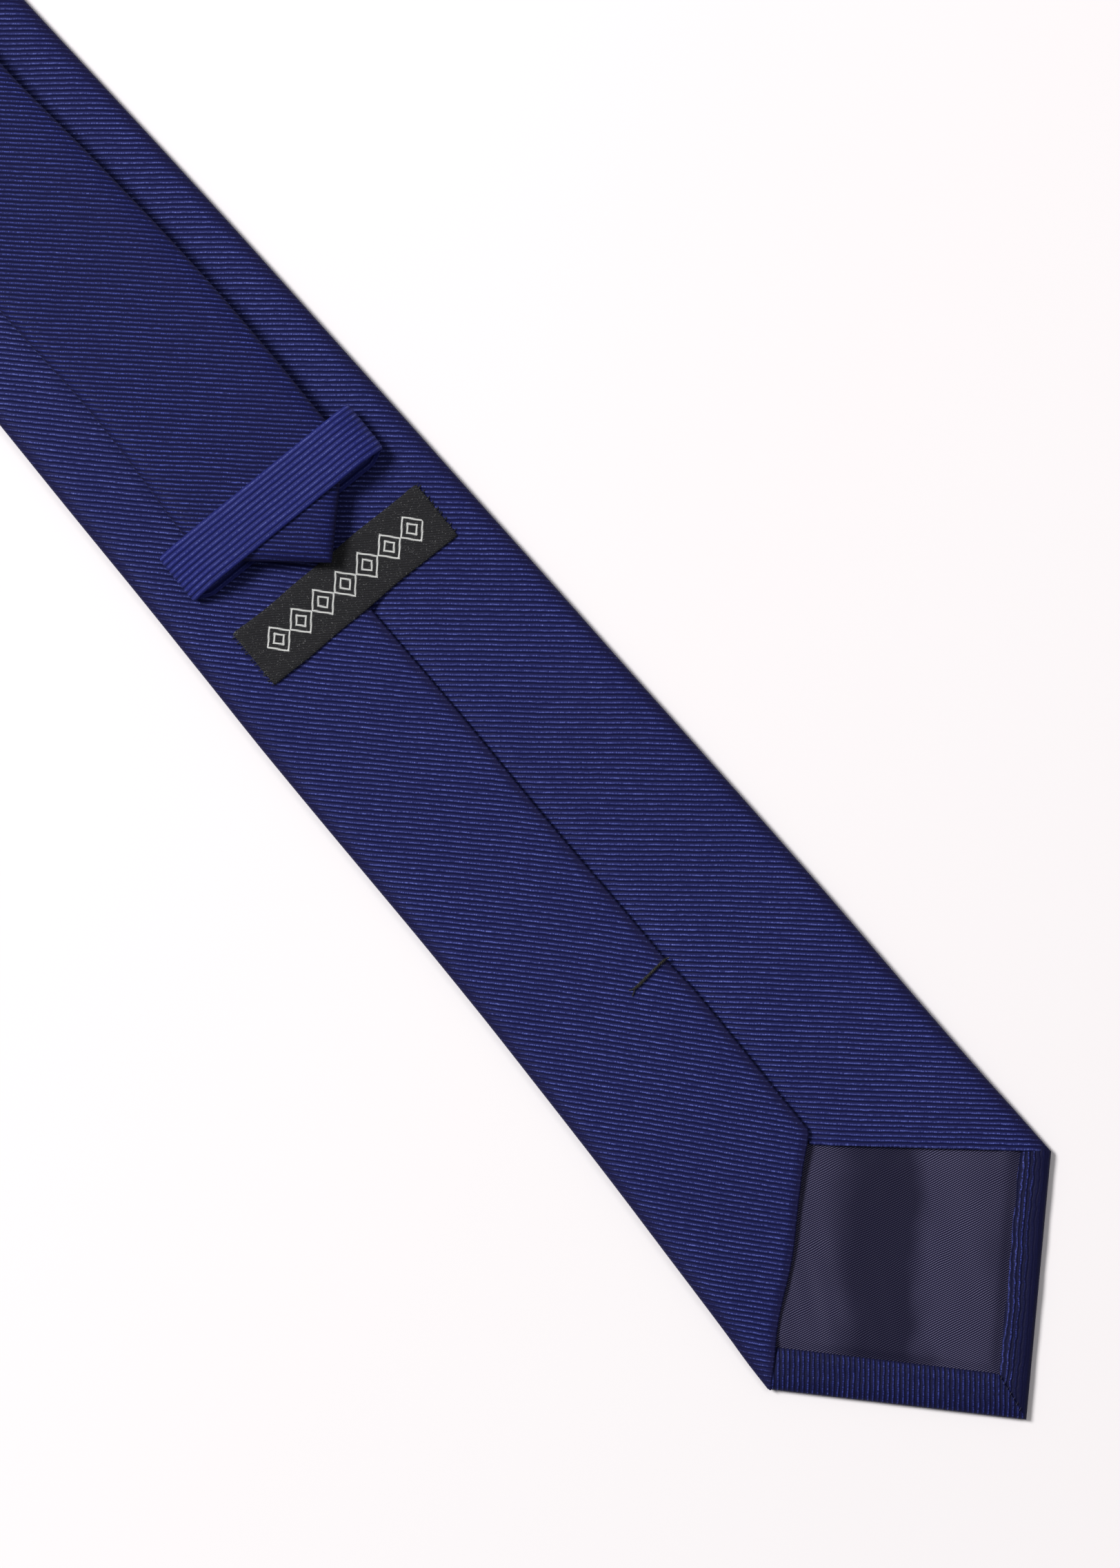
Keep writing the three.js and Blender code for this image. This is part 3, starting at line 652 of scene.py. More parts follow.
def across(lo, hi, left, right, n_in=14):
    """Offsets 0..1 of a row from y=lo to y=hi, crowded at rolled ends."""
    width = hi - lo
    k = min(1.0, 0.42 * width / ROLL)
    a = EDGE_STEPS * k if left else np.linspace(0, ROLL, 4) * k
    b = EDGE_STEPS * k if right else np.linspace(0, ROLL, 4) * k
    mid = np.linspace(lo + a[-1], hi - b[-1], n_in)
    return np.concatenate([lo + a[:-1], mid, (hi - b)[::-1][1:]])


# face: the underside, from outline to outline, with the lower half of the roll
rows_s = np.concatenate([s_tip, s_main])
S, Y = [], []
for s in rows_s:
    if s < 39:
        f = s / 39.0
        lo = TIP[1] + (SH_L[1] - TIP[1]) * f
        hi = TIP[1] + (SH_R[1] - TIP[1]) * f
    else:
        lo, hi = float(EDGE_L(s)), float(EDGE_R(s))
    ys = across(lo, hi, True, True, 16)
    Y.append(ys)
    S.append(np.full(len(ys), s))
S, Y = np.array(S), np.array(Y)
S = stretch(S, Y, 640.0, END_LOW)
dl, dr, da, db = blade_d(S, Y)
D = np.minimum(np.minimum(dl, dr), np.minimum(da, db))
zc = zc_at(S, Y)
Z = zc - (zc - 0.0) * roll(D)
far = D > ROLL
# cloth coordinates continue past the edge by the length of the roll
ex = np.where(D < ROLL, ROLL + EXC - arc_from_edge(np.clip(D, 0, ROLL)) - (ROLL - D), 0)
nearL = (dl <= dr) & (dl <= da)
fy = Y + np.where(S >= 39, np.where(nearL, -ex, ex), np.where(Y < TIP[1], -ex, ex) * 0.7)
fx = X(S) + np.where(S < 39, ex * 0.7, 0)
u, v = rib_coords(fx, fy)
face = cloth("blade_face", np.stack([X(S), Y, Z], -1), CLOTH, np.stack([u, v, D + 2.0], -1),
             1, mat=NAVY)
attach(face, "blade")
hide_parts("front_shell")


def fold_coords(s, y, edge, slp, side):
    """Cloth coordinates of a back flap: the face cloth folded over the edge."""
    al = np.arctan(-slp(s))                      # slope of the edge in x, y
    d = (edge(s) - y) * np.cos(al) * side        # distance inside the edge
    nx, ny = -np.sin(al) * side, np.cos(al) * side   # outwards
    a = arc_from_edge(np.clip(d, 0, None)) + EXC
    fx = X(s) + nx * (d + a)
    fy = y + ny * (d + a)
    return fx, fy, d


# left back flap, over the right one, with its folded free edge
def left_free(s):
    """y of the free edge of the left flap."""
    ys = np.linspace(-38.1, 2.5, 400)
    m = np.interp(s, MOUTH_L(ys), ys)
    return np.where(s < 74.6, m, SEAM(s))


rows = np.concatenate([[38.75, 39.2, 39.8, 40.6, 41.6, 42.8, 44.2], np.arange(45.7, 74, 1.25),
                       [74.3, 74.9, 75.8], np.arange(77, 130, 1.6), np.arange(131.5, 360, 2.2),
                       np.arange(362, 698, 4.0), [700.0]])
S, Y = [], []
for s in rows:
    lo = float(EDGE_L(max(s, 39.0))) if s >= 39 else SH_L[1] + (39 - s) * 0.94
    hi = float(left_free(s)) - 0.2
    w = max(hi - lo, 0.25)
    k = min(1.0, 0.45 * w / ROLL)
    a = lo + EDGE_STEPS * k
    fe = np.array([0, 0.12, 0.3, 0.6, 1.0, 1.5, 2.2, 3.2]) * min(1.0, 0.45 * w / 3.2)
    b = lo + w - fe[::-1]
    mid = np.linspace(a[-1], b[0], 16)
    Y.append(np.concatenate([a[:-1], mid, b[1:]]))
    S.append(np.full(len(Y[-1]), s))
S, Y = np.array(S), np.array(Y)
S = stretch(S, Y, 640.0, END_LOW)
dl, dr, da, db = blade_d(S, Y)
D = np.clip(np.minimum(dl, np.where(S < 60, np.maximum(da, 0) + 0.4, 99)), 0, None)
D = np.clip(np.minimum(dl, np.where(S < 60, da + 3.0, 99)), 0, None)
zc = zc_left(S)
zt = 3.1 + 0.9 * sm(40, 66, S)
# the free edge: distance to it
fs = np.concatenate([MOUTH_L(np.linspace(-38.1, 2.5, 160)), np.arange(74.8, 720, 0.8)])
fy_ = np.concatenate([np.linspace(-38.1, 2.5, 160), SEAM(np.arange(74.8, 720, 0.8))])
FREE = np.empty(S.shape)
for i in range(S.shape[0]):
    sel = np.abs(fs - S[i].mean()) < 60
    FREE[i] = np.sqrt((S[i][:, None] - fs[sel][None]) ** 2 + (Y[i][:, None] - fy_[sel][None]) ** 2).min(1)
Z = zc + (zt - zc) * roll(np.clip(dl, 0, None)) + plump(S, Y) * sm(2, 9, dl) * sm(1, 6, FREE)
Z -= 0.22 * (1 - sm(0.0, 2.0, FREE)) * sm(42, 60, S)
TH = CLOTH + 0.34 * (1 - sm(5.0, 5.6, FREE)) * sm(1.5, 5.0, dl)
fx, fyy, d_in = fold_coords(S, Y, EDGE_L, SLOPE_L, -1)
# cloth is drawn round the seam edge a little
u, v = rib_coords(fx, fyy)
# the third fab value, the distance from the rolled edge or from the free edge, sets the painted edge shade, so it
# darkens beside the seam
flapL = cloth("flap_left", np.stack([X(S), Y, Z], -1), TH,
              np.stack([u, v, np.minimum(d_in, FREE * 1.25 + 0.2)], -1), -1, "i0 j1", mat=NAVY)
hl0, hl1 = np.array([40.5, -36.0]), np.array([119.0, 2.3])
mid = (hl0 + hl1) / 2
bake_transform(flapL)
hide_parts("front_flap_left")


# right back flap, under the left one
def right_free(s):
    m = MOUTH_R[0][1] + (MOUTH_R[1][1] - MOUTH_R[0][1]) * (s - MOUTH_R[0][0]) / (MOUTH_R[1][0] - MOUTH_R[0][0])
    back = 1.1 - 9.1 * sm(119, 150, s)
    return np.where(s < MOUTH_R[0][0], m, back)


rows = np.concatenate([[39.3, 39.7, 40.3, 41.2, 42.4, 44.0], np.arange(45.6, 72, 1.3), [72.3, 72.9],
                       np.arange(74, 130, 1.6), np.arange(131.5, 360, 2.2),
                       np.arange(362, 698, 4.0), [700.0]])
S, Y = [], []
for s in rows:
    hi = float(EDGE_R(max(s, 39.0)))
    lo = float(right_free(s)) + 0.2
    w = max(hi - lo, 0.25)
    k = min(1.0, 0.45 * w / ROLL)
    a = hi - EDGE_STEPS * k
    fe = np.array([0, 0.12, 0.3, 0.6, 1.0, 1.5, 2.2, 3.2]) * min(1.0, 0.45 * w / 3.2)
    b = hi - w + fe[::-1]
    midp = np.linspace(a[-1], b[0], 20)
    Y.append(np.concatenate([a[:-1], midp, b[1:]]))
    S.append(np.full(len(Y[-1]), s))
S, Y = np.array(S), np.array(Y)
S = stretch(S, Y, 640.0, END_LOW)
dl, dr, da, db = blade_d(S, Y)
zc = zc_right(S)
zt = 2.9 + 0.3 * sm(40, 60, S)
p0, p1 = MOUTH_R
dmouth = np.abs(seg_dist(S, Y, p0, p1))
dback = np.abs(Y - np.where(S < 72.4, 99, right_free(S)))
FREE = np.where(S < 72.4, dmouth, np.minimum(dback, np.hypot(S - 72.4, Y - 0.8) + 0 * S))
seam_y = SEAM(S)
under = 1 - sm(0.85, 2.3, Y - seam_y)
Z = zc + (zt - zc) * roll(np.clip(dr, 0, None)) + plump(S, Y) * sm(2, 9, dr) * sm(1, 6, FREE) * (1 - under)
Z -= (0.90 + 0.05 * sm(110, 150, S)) * under * sm(64, 78, S)
Z -= 0.10 * (1 - sm(0, 1.6, dmouth)) * (S < 76)
TH = CLOTH + 0.25 * (1 - sm(5.0, 5.6, dmouth)) * sm(1.5, 5.0, dr) * (1 - sm(70, 74, S))
fx, fyy, d_in = fold_coords(S, Y, EDGE_R, SLOPE_R, 1)
u, v = rib_coords(fx, fyy)
# the third fab value, nearer the mouth edge, puts a little painted edge shade along it
flapR = cloth("flap_right", np.stack([X(S), Y, Z], -1), TH,
              np.stack([u, v, np.minimum(d_in, np.where(S < 72.4, dmouth * 4 + 1.6, 50))], -1), 1, "i0 j1",
              mat=NAVY)
hr0, hr1 = np.array([40.5, 36.4]), np.array([120.0, 0.9])
mid = (hr0 + hr1) / 2
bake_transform(flapR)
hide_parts("front_flap_right")


# hems along the two tip edges, mitred at the point
def hem(name, shoulder, width, other_width, far_end, mat, side):
    """far_end: how far past the shoulder the hem runs at its inner edge."""
    e = (shoulder - TIP)
    L = float(np.hypot(*e))
    e = e / L
    n = np.array([-e[1], e[0]])
    if (np.array([60.0, 0.0]) - TIP) @ n < 0:
        n = -n
    o = (SH_R if side < 0 else SH_L) - TIP
    o = o / np.hypot(*o)
    no = np.array([-o[1], o[0]])
    if (np.array([60.0, 0.0]) - TIP) @ no < 0:
        no = -no
    # inner corner: width from this edge, other_width from the other edge
    C = np.linalg.solve(np.array([n, no]), np.array([width, other_width]))
    d = np.concatenate([ROLL * 0.8 * (1 - np.cos(np.linspace(0, math.pi / 2, 8))),
                        np.linspace(ROLL * 0.8, width - 1.6, 5)[1:], width - 1.6 + np.array([0.4, 0.8, 1.1, 1.35, 1.5])])
    along = np.linspace(0, 1, 60)
    S_, Y_, A_, D_ = [], [], [], []
    for k in along:
        st = np.outer(d / width, C)
        a0 = st @ e
        a1 = L + far_end * (d / width) ** 1.0
        a = a0 + (a1 - a0) * k
        p = TIP + np.outer(a, e) + np.outer(d, n)
        S_.append(p[:, 0])
        Y_.append(p[:, 1])
        A_.append(a)
        D_.append(d)
    S_, Y_, A_, D_ = (np.array(q) for q in (S_, Y_, A_, D_))
    dl, dr, da, db = blade_d(S_, Y_)
    dside = np.where(S_ > 36, np.clip(dl if side < 0 else dr, 0, None) + np.clip(39 - S_, 0, 99), 99)
    zc = zc_at(S_, Y_) * 0 + 1.35
    zt = 2.75
    z = zc + (zt - zc) * roll(np.minimum(D_, dside), ROLL * 0.8)
    z = z - 0.55 * sm(width - 1.7, width, D_) + 0.05 * ripple(X(S_), Y_, 31, 9)
    # pressed down where the flap lies on it
    if side > 0:
        cover = seg_dist(S_, Y_, MOUTH_R[0], MOUTH_R[1])
        z = z - 0.42 * sm(-2.5, 0.8, cover) * sm(1.0, 3.5, D_)
    else:
        cover = S_ - MOUTH_L(np.clip(Y_, -38.1, 2.5))
        z = z - 0.30 * sm(-2.5, 0.8, cover) * sm(1.0, 3.5, D_)
    mit = A_ - (np.outer(np.ones(len(along)), d / width) * (C @ e))
    z = z - 0.16 * (1 - sm(0.0, 0.9, mit)) * sm(0.8, 2.5, D_)
    phi = math.radians(-40.5)
    fxx, fyy = X(S_), Y_
    if side > 0:
        phi = math.radians(-45.3 + 1.0)
    u, v = rib_coords(fxx + 0 * D_, fyy, phi)
    v = v + (EXC if side > 0 else 0)
    # the third fab value sets the painted edge shade: on the left hem it counts from both edges, so it also darkens
    # into the seam with the lining
    dd = D_ if side > 0 else np.minimum(D_ + 0.5, (width - D_) * 1.2 + 0.35)
    if side > 0:
        dd = D_ + 0.0
    orient = -1 if side < 0 else 1
    ob = cloth(name, np.stack([X(S_), Y_, z], -1), 0.36, np.stack([u, v, dd], -1), orient, "j1", mat=mat)
    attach(ob, "blade")
    return ob, C + TIP


hemL, CORNER = hem("hem_left", SH_L, 8.8, 6.6, 5.5, NAVY_HEM, -1)
hemR, _ = hem("hem_right", SH_R, 6.6, 8.8, 5.0, NAVY_HEM_R, 1)

# lining of the tip, wrinkled a little, tucked under hems and flaps
rows = np.concatenate([[5.2, 6.0, 7.2], np.arange(8.5, 39, 1.1), np.arange(40, 90, 1.1), np.arange(92, 153, 4)])
S, Y = [], []
for s in rows:
    inset = 3.9
    if s < 39:
        f = s / 39.0
        lo = TIP[1] + (SH_L[1] - TIP[1]) * f + inset * 1.36
        hi = TIP[1] + (SH_R[1] - TIP[1]) * f - inset * 1.40
        lo, hi = min(lo, -1.8), max(hi, -1.0)
        lo = max(lo, float(EDGE_L(39)) + inset + 0.5)
        hi = min(hi, float(EDGE_R(39)) - inset - 0.5)
    else:
        lo, hi = float(EDGE_L(s)) + inset + 0.5, float(EDGE_R(s)) - inset - 0.5
    Y.append(np.linspace(lo, hi, 70))
    S.append(np.full(70, s))
S, Y = np.array(S), np.array(Y)
dl, dr, da, db = blade_d(S, Y)
dh = np.minimum(da - 8.8, db - 6.6)
lift = 2.38 - 0.62 * (1 - sm(-0.3, 2.4, dh))
wr = 0.055 * ripple(X(S), Y, 21, 13) + 0.06 * ripple(X(S) * 0.45 + Y * 0.9, Y * 0.2 - X(S) * 0.1, 22, 8)
crease = np.exp(-(((S - 46) / 16) ** 2 + ((Y + 17) / 9) ** 2))
a = math.radians(62)
wr += 0.10 * crease * np.sin((X(S) * math.cos(a) + Y * math.sin(a)) * 2 * math.pi / 4.6)
crease2 = np.exp(-(((S - 66) / 10) ** 2 + ((Y - 9) / 8) ** 2))
a = math.radians(20)
wr += 0.05 * crease2 * np.sin((X(S) * math.cos(a) + Y * math.sin(a)) * 2 * math.pi / 5.2)
Z = lift + wr * sm(0.0, 3.0, dh) * (1 - 0.6 * sm(76, 100, S))
mr = seg_dist(S, Y, MOUTH_R[0], MOUTH_R[1])
Z = np.minimum(Z, 2.52) - 0.5 * np.exp(-((Y - 1.5) / 4.5) ** 2) * sm(76, 84, S)
Z = np.maximum(Z - 0.5 * np.exp(-((mr - 0.5) / 2.6) ** 2) * sm(38, 30, Y) * sm(1.5, 5.0, dh), 1.74)
# it passes below the hollow of the right flap beside the seam
off = Y - SEAM(S)
room = np.where(off > 0, 1.76 + 0.9 * sm(1.0, 5.0, off), 1.76 + 0.6 * sm(-8.5, -12.0, off))
Z = Z + (np.minimum(Z, room) - Z) * sm(62, 72, S)
Z = np.minimum(Z, 1.2 + 1.4 * roll(np.clip(np.minimum(dl, dr) - 2.4, 0, None), 6.0))
# twill runs up to the right at about 28 degrees in the image
tw = math.radians(50 + 28 - 90)
rx, ry = 0.6428, 0.7660            # image right in x, y
ux, uy = -0.7660, 0.6428           # image up
ix, iy = X(S) * rx + Y * ry, X(S) * ux + Y * uy
ta = math.radians(27)
al = ix * math.cos(ta) + iy * math.sin(ta)
ac = -ix * math.sin(ta) + iy * math.cos(ta)
lining = cloth("tip_lining", np.stack([X(S), Y, Z], -1), 0.22, np.stack([al, ac, ix], -1), -1, mat=LINING)
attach(lining, "blade")
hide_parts("front_tipping")


def band(name, rows, lo, hi, z, thick, mat, orient=-1, cols=9, amp=0.05):
    S = np.repeat(np.asarray(rows, float)[:, None], cols, 1)
    t = np.linspace(0, 1, cols)[None]
    Y = np.array([lo(s) for s in rows])[:, None] * (1 - t) + np.array([hi(s) for s in rows])[:, None] * t
    Z = z + amp * ripple(X(S), Y, 41, 15)
    return cloth(name, np.stack([X(S), Y, Z], -1), thick, np.stack([X(S), Y, 0 * Y + 9], -1), orient, mat=mat)


def tip_lo(s):
    return TIP[1] + (SH_L[1] - TIP[1]) * s / 39.0 + 6.2 if s < 39 else float(EDGE_L(s)) + 4.4


def tip_hi(s):
    return TIP[1] + (SH_R[1] - TIP[1]) * s / 39.0 - 6.2 if s < 39 else float(EDGE_R(s)) - 4.4


inter = band("blade_interlining", np.concatenate([[6.0, 12, 20, 28, 36], np.arange(42, 795, 7.0), [797]]),
             lambda s: min(tip_lo(s), -1.9), lambda s: max(tip_hi(s), -0.9), 1.45, 0.7, WOOL)
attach(inter, "blade")
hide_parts("front_interlining")


# ------------------------------------------------------------------ C sections
def c_section(yl, yr, seam, under, n_flat=12):
    """Section of a folded strip as points (y, depth): from the inner flap's free
    edge, round the right edge, across the face, round the left edge, to the
    outer flap's free edge. Depth 0 is the face. Also the length along the cloth
    from the middle of the face, and the distance from the outline."""
    th = np.linspace(0, math.pi / 2, 7)
    R = 4.0
    zr, zl = 3.15, 3.95
    cr, cl = zr / 2, zl / 2
    pts = [(under + (yr - R - under) * t, zr) for t in np.linspace(0, 1, 8)]
    pts += [(yr - R * (1 - math.cos(t)), cr + cr * math.sin(t)) for t in th[::-1][1:]]
    pts += [(yr - R * (1 - math.cos(t)), cr - cr * math.sin(t)) for t in th[1:]]
    k = len(pts) - 1
    pts += [(yr - R + (yl + R - yr + R) * t, 0.0) for t in np.linspace(0, 1, n_flat)[1:]]
    pts += [(yl + R * (1 - math.cos(t)), cl - cl * math.sin(t)) for t in th[::-1][1:]]
    pts += [(yl + R * (1 - math.cos(t)), cl + cl * math.sin(t)) for t in th[1:]]
    pts += [(yl + R + (seam - 0.2 - yl - R) * t, zl if t < 1 else zl - 0.06)
            for t in np.linspace(0, 1, 9)[1:]]
    p = np.array(pts)
    arc = np.concatenate([[0], np.cumsum(np.hypot(*np.diff(p, axis=0).T))])
    arc = arc - np.interp(-(yl + yr) / 2, -p[k:k + n_flat, 0], arc[k:k + n_flat])
    dist = np.minimum(yr - p[:, 0], p[:, 0] - yl)
    return p, arc, dist


def strip(name, s_rows, edge_l, edge_r, seam, under, place, mat, ends=None, rounds="j0 j1",
          phi=PHI, v_off=0.0):
    top, fab = [], []
    for s in s_rows:
        yl, yr = float(edge_l(s)), float(edge_r(s))
        sv = float(seam(s)) if callable(seam) else seam
        p, arc, dist = c_section(yl, yr, sv, under)
        ss = np.full(len(p), float(s))
        if ends is not None:
            ss = ends(ss, p[:, 0], p[:, 1], dist)
        u, v = rib_coords(X(ss), -arc + (yl + yr) / 2, phi)
        top.append(place(ss, p[:, 0], p[:, 1]))
        fab.append(np.stack([u, v + v_off, dist + 0.8], -1))
    top = np.array(top)
    return cloth(name, top, CLOTH, np.array(fab), 1, rounds, mat=mat, nrm=outward(top))


def outward(top):
    n = normals(top, 1)
    c = top.mean(1, keepdims=True)
    j = n.shape[1] // 2
    # the face, in the middle of the section, must point away from the flaps
    flaps = (top[:, 2] + top[:, -3]) / 2
    want = top[:, j] - flaps
    sgn = np.sign((n[:, j] * want).sum(1))
    sgn[sgn == 0] = 1
    return n * sgn[:, None, None]


def low_place(s, y, d):
    return np.stack([X(s), y, d], -1)


def up_place(s, y, d):
    return np.stack([X(s), y, 9.1 - d], -1)


def end_seam(base, s_from, sign):
    """Slides the rows between s_from and base so that the last lies on a bias seam."""
    def f(ss, y, d, dist):
        end = base + sign * 0.12 - 0.9 * y
        k = np.clip((ss - s_from) / (base - s_from), 0, 1)
        return s_from + (end - s_from) * k
    return f


neck_low = strip("neck_lower", np.linspace(800, 700, 24), EDGE_L, EDGE_R, SEAM, -8, low_place,
                 NAVY, ends=end_seam(700.0, 800.0, 1))
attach(neck_low, "blade")
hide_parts("neck_shell_lower")

# the fold at the neck: the run turns over on a small roll
BEND_S, BEND_R = 843.45, 2.55     # where the turn starts, and its middle radius
BEND_LEN = math.pi * BEND_R
HALF_TURN = BEND_LEN / 2


def bend_place(a, y, d):
    """a: distance past s=BEND_S along the middle of the run."""
    a = np.asarray(a, float)
    w = np.clip(a / BEND_R, 0, math.pi)
    r = BEND_R + (2.0 - d)           # the face is outside the turn
    x = X(BEND_S) - r * np.sin(w) - np.minimum(a, 0) + np.maximum(a - BEND_LEN, 0)
    return np.stack([x, y + 0 * a, 4.55 - r * np.cos(w)], -1)


def bend_strip(name, a_rows, mat):
    top, fab = [], []
    for a in a_rows:
        low = a <= HALF_TURN + 1e-6
        s = BEND_S + a if low else BEND_S - (a - BEND_LEN)
        t = np.clip((a + 20) / (BEND_LEN + 40), 0, 1)
        yl = float(EDGE_L(s)) * (1 - t) + float(UP_L(s)) * t
        yr = float(EDGE_R(s)) * (1 - t) + float(UP_R(s)) * t
        sv = float(SEAM(s)) * (1 - t) + 1.2 * t
        p, arc, dist = c_section(yl, yr, sv, -8 * (1 - t) - 6 * t)
        u, v = rib_coords(X(BEND_S) - np.full(len(p), float(a)), -arc, PHI)
        top.append(bend_place(np.full(len(p), float(a)), p[:, 0], p[:, 1]))
        fab.append(np.stack([u, v, dist + 0.8], -1))
    top = np.array(top)
    return cloth(name, top, CLOTH, np.array(fab), 1, "j0 j1", mat=mat, nrm=outward(top))


UP_TO = 743.0
a_low = np.concatenate([np.linspace(-43.45, -3, 10), np.linspace(0, HALF_TURN, 9)])
a_up = np.concatenate([np.linspace(HALF_TURN, BEND_LEN, 9),
                       np.linspace(BEND_LEN + 3, BEND_LEN + BEND_S - UP_TO, 24)])
bend_low = bend_strip("neck_bend_lower", a_low, NAVY)
bend_up = bend_strip("neck_bend_upper", a_up, NAVY)
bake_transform(bend_low)
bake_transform(bend_up)
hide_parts("neck_shell_fold")

TAIL_PHI = math.radians(47.0)


def upper_blend(ob):
    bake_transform(ob)
    return ob


def upper_piece(name, s_rows, mat, phi, ends=None, replaced=(), v_off=0.0, rounds="j0 j1"):
    ob = strip(name, s_rows, UP_L, UP_R, 1.2, -6, up_place, mat, ends=ends, rounds=rounds,
               phi=phi, v_off=v_off)
    upper_blend(ob)
    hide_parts(*replaced)
    return ob


V_NECK = float((2 * X(BEND_S) - BEND_LEN) * math.sin(-PHI))
neck_up = upper_piece("neck_upper", np.linspace(UP_TO, 696, 18), NAVY, -PHI,
                      ends=end_seam(696.0, UP_TO, 1), replaced=("neck_shell_upper",), v_off=V_NECK)
tail_rear = upper_piece("tail_rear", np.linspace(660, 696, 14), NAVY_TAIL, TAIL_PHI,
                        ends=end_seam(696.0, 660, -1), replaced=("tail_shell_rear",))
tail_up = upper_piece("tail_upper", np.linspace(660, 550, 44), NAVY_TAIL, TAIL_PHI,
                      replaced=("tail_shell_upper",))
tail_mid = upper_piece("tail_middle", np.linspace(550, 373, 70), NAVY_TAIL, TAIL_PHI,
                       replaced=("tail_shell_middle",))


# ------------------------------------------------------------------ tail end
T_TIP = np.array([226.5, 2.54])
T_L = np.array([243.7, -17.2])
T_R = np.array([243.7, 20.35])


def tail_mouth(ss, y, d, dist):
    """The two back flaps stop short of the tip in a shallow V."""
    flap = d > 2.2
    end = 247.0 + np.clip(dist, 0, 40) * 0.9
    moved = end + (ss - 247.0) * (300.0 - end) / 53.0
    return np.where(flap & (ss < 300), moved, ss)


tail_end = strip("tail_end", np.concatenate([np.linspace(373, 300, 40), np.linspace(298.5, 247, 36)]),
                 UP_L, UP_R, 1.2, -5, up_place, NAVY_TAIL, ends=tail_mouth, phi=TAIL_PHI)
upper_blend(tail_end)
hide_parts("tail_shell_tip")

# pointed end of the tail: face
rows = np.concatenate([[226.65, 227.0, 227.6, 228.4], np.arange(229.4, 243.6, 1.0), [243.7, 244.4, 245.6, 247.0]])
S, Y = [], []
for s in rows:
    if s < 243.7:
        f = (s - 226.5) / 17.2
        lo, hi = T_TIP[1] + (T_L[1] - T_TIP[1]) * f, T_TIP[1] + (T_R[1] - T_TIP[1]) * f
    else:
        lo, hi = float(UP_L(s)), float(UP_R(s))
    k = min(1.0, 0.42 * (hi - lo) / 4.0)
    st = 4.0 * (1 - np.cos(np.linspace(0, math.pi / 2, 7))) * k
    Y.append(np.concatenate([lo + st[:-1], np.linspace(lo + st[-1], hi - st[-1], 12), (hi - st)[::-1][1:]]))
    S.append(np.full(len(Y[-1]), s))
S, Y = np.array(S), np.array(Y)


def tail_dist(s, y):
    def line(a, b):
        d = b - a
        n = np.array([-d[1], d[0]]) / np.hypot(*d)
        r = (s - a[0]) * n[0] + (y - a[1]) * n[1]
        return r * np.sign((np.array([270.0, 2.0]) - a) @ n)
    return y - UP_L(s), UP_R(s) - y, line(T_TIP, T_L), line(T_TIP, T_R)


dl, dr, da, db = tail_dist(S, Y)
D = np.clip(np.minimum(np.minimum(dl, dr), np.minimum(da, db)), 0, None)
cdep = np.where(Y < 1.5, 1.975, 1.575)
cdep = 1.45 + (cdep - 1.45) * sm(240, 247, S)
Z = 9.1 - cdep * (1 - roll(D, 4.0))
ex = np.where(D < 4.0, (EXC * 0.8) * np.clip(1 - D / 4.0, 0, 1) ** 1.5, 0)
u, v = rib_coords(X(S), Y, TAIL_PHI)
tail_tip = cloth("tail_tip_face", np.stack([X(S), Y, Z], -1), 0.36,
                 np.stack([u, v, D + 0.5], -1), -1, mat=NAVY_TAIL)
upper_blend(tail_tip)


def tail_hem(name, shoulder, side):
    e = shoulder - T_TIP
    L = float(np.hypot(*e))
    e = e / L
    n = np.array([-e[1], e[0]])
    if (np.array([270.0, 2.0]) - T_TIP) @ n < 0:
        n = -n
    W = 5.5
    o = (T_R if side < 0 else T_L) - T_TIP
    o = o / np.hypot(*o)
    no = np.array([-o[1], o[0]])
    if (np.array([270.0, 2.0]) - T_TIP) @ no < 0:
        no = -no
    C = np.linalg.solve(np.array([n, no]), np.array([W, W]))
    d = np.concatenate([3.2 * (1 - np.cos(np.linspace(0, math.pi / 2, 7))), [4.0, 4.6, 5.0, 5.3, 5.5]])
    S_, Y_, D_ = [], [], []
    for k in np.linspace(0, 1, 26):
        a0 = np.outer(d / W, C) @ e
        a1 = L + 2.4 * d / W
        a = a0 + (a1 - a0) * k
        p = T_TIP + np.outer(a, e) + np.outer(d, n)
        S_.append(p[:, 0])
        Y_.append(p[:, 1])
        D_.append(d)
    S_, Y_, D_ = (np.array(q) for q in (S_, Y_, D_))
    dl, dr, da, db = tail_dist(S_, Y_)
    ds = np.where(S_ > 241, np.clip(np.minimum(dl, dr), 0, None) + np.clip(243.7 - S_, 0, 99), 99)
    dep = 1.45 + (2.5 - 1.45) * roll(np.minimum(D_, ds), 3.2) - 0.4 * sm(4.4, 5.5, D_)
    u, v = rib_coords(X(S_), Y_, math.radians(-40))
    ob = cloth(name, np.stack([X(S_), Y_, 9.1 - dep], -1), 0.34, np.stack([u, v, D_], -1),
               1 if side < 0 else -1, "j1", mat=NAVY_HEM)
    upper_blend(ob)
    return ob


tail_hem("tail_hem_left", T_L, -1)
tail_hem("tail_hem_right", T_R, 1)

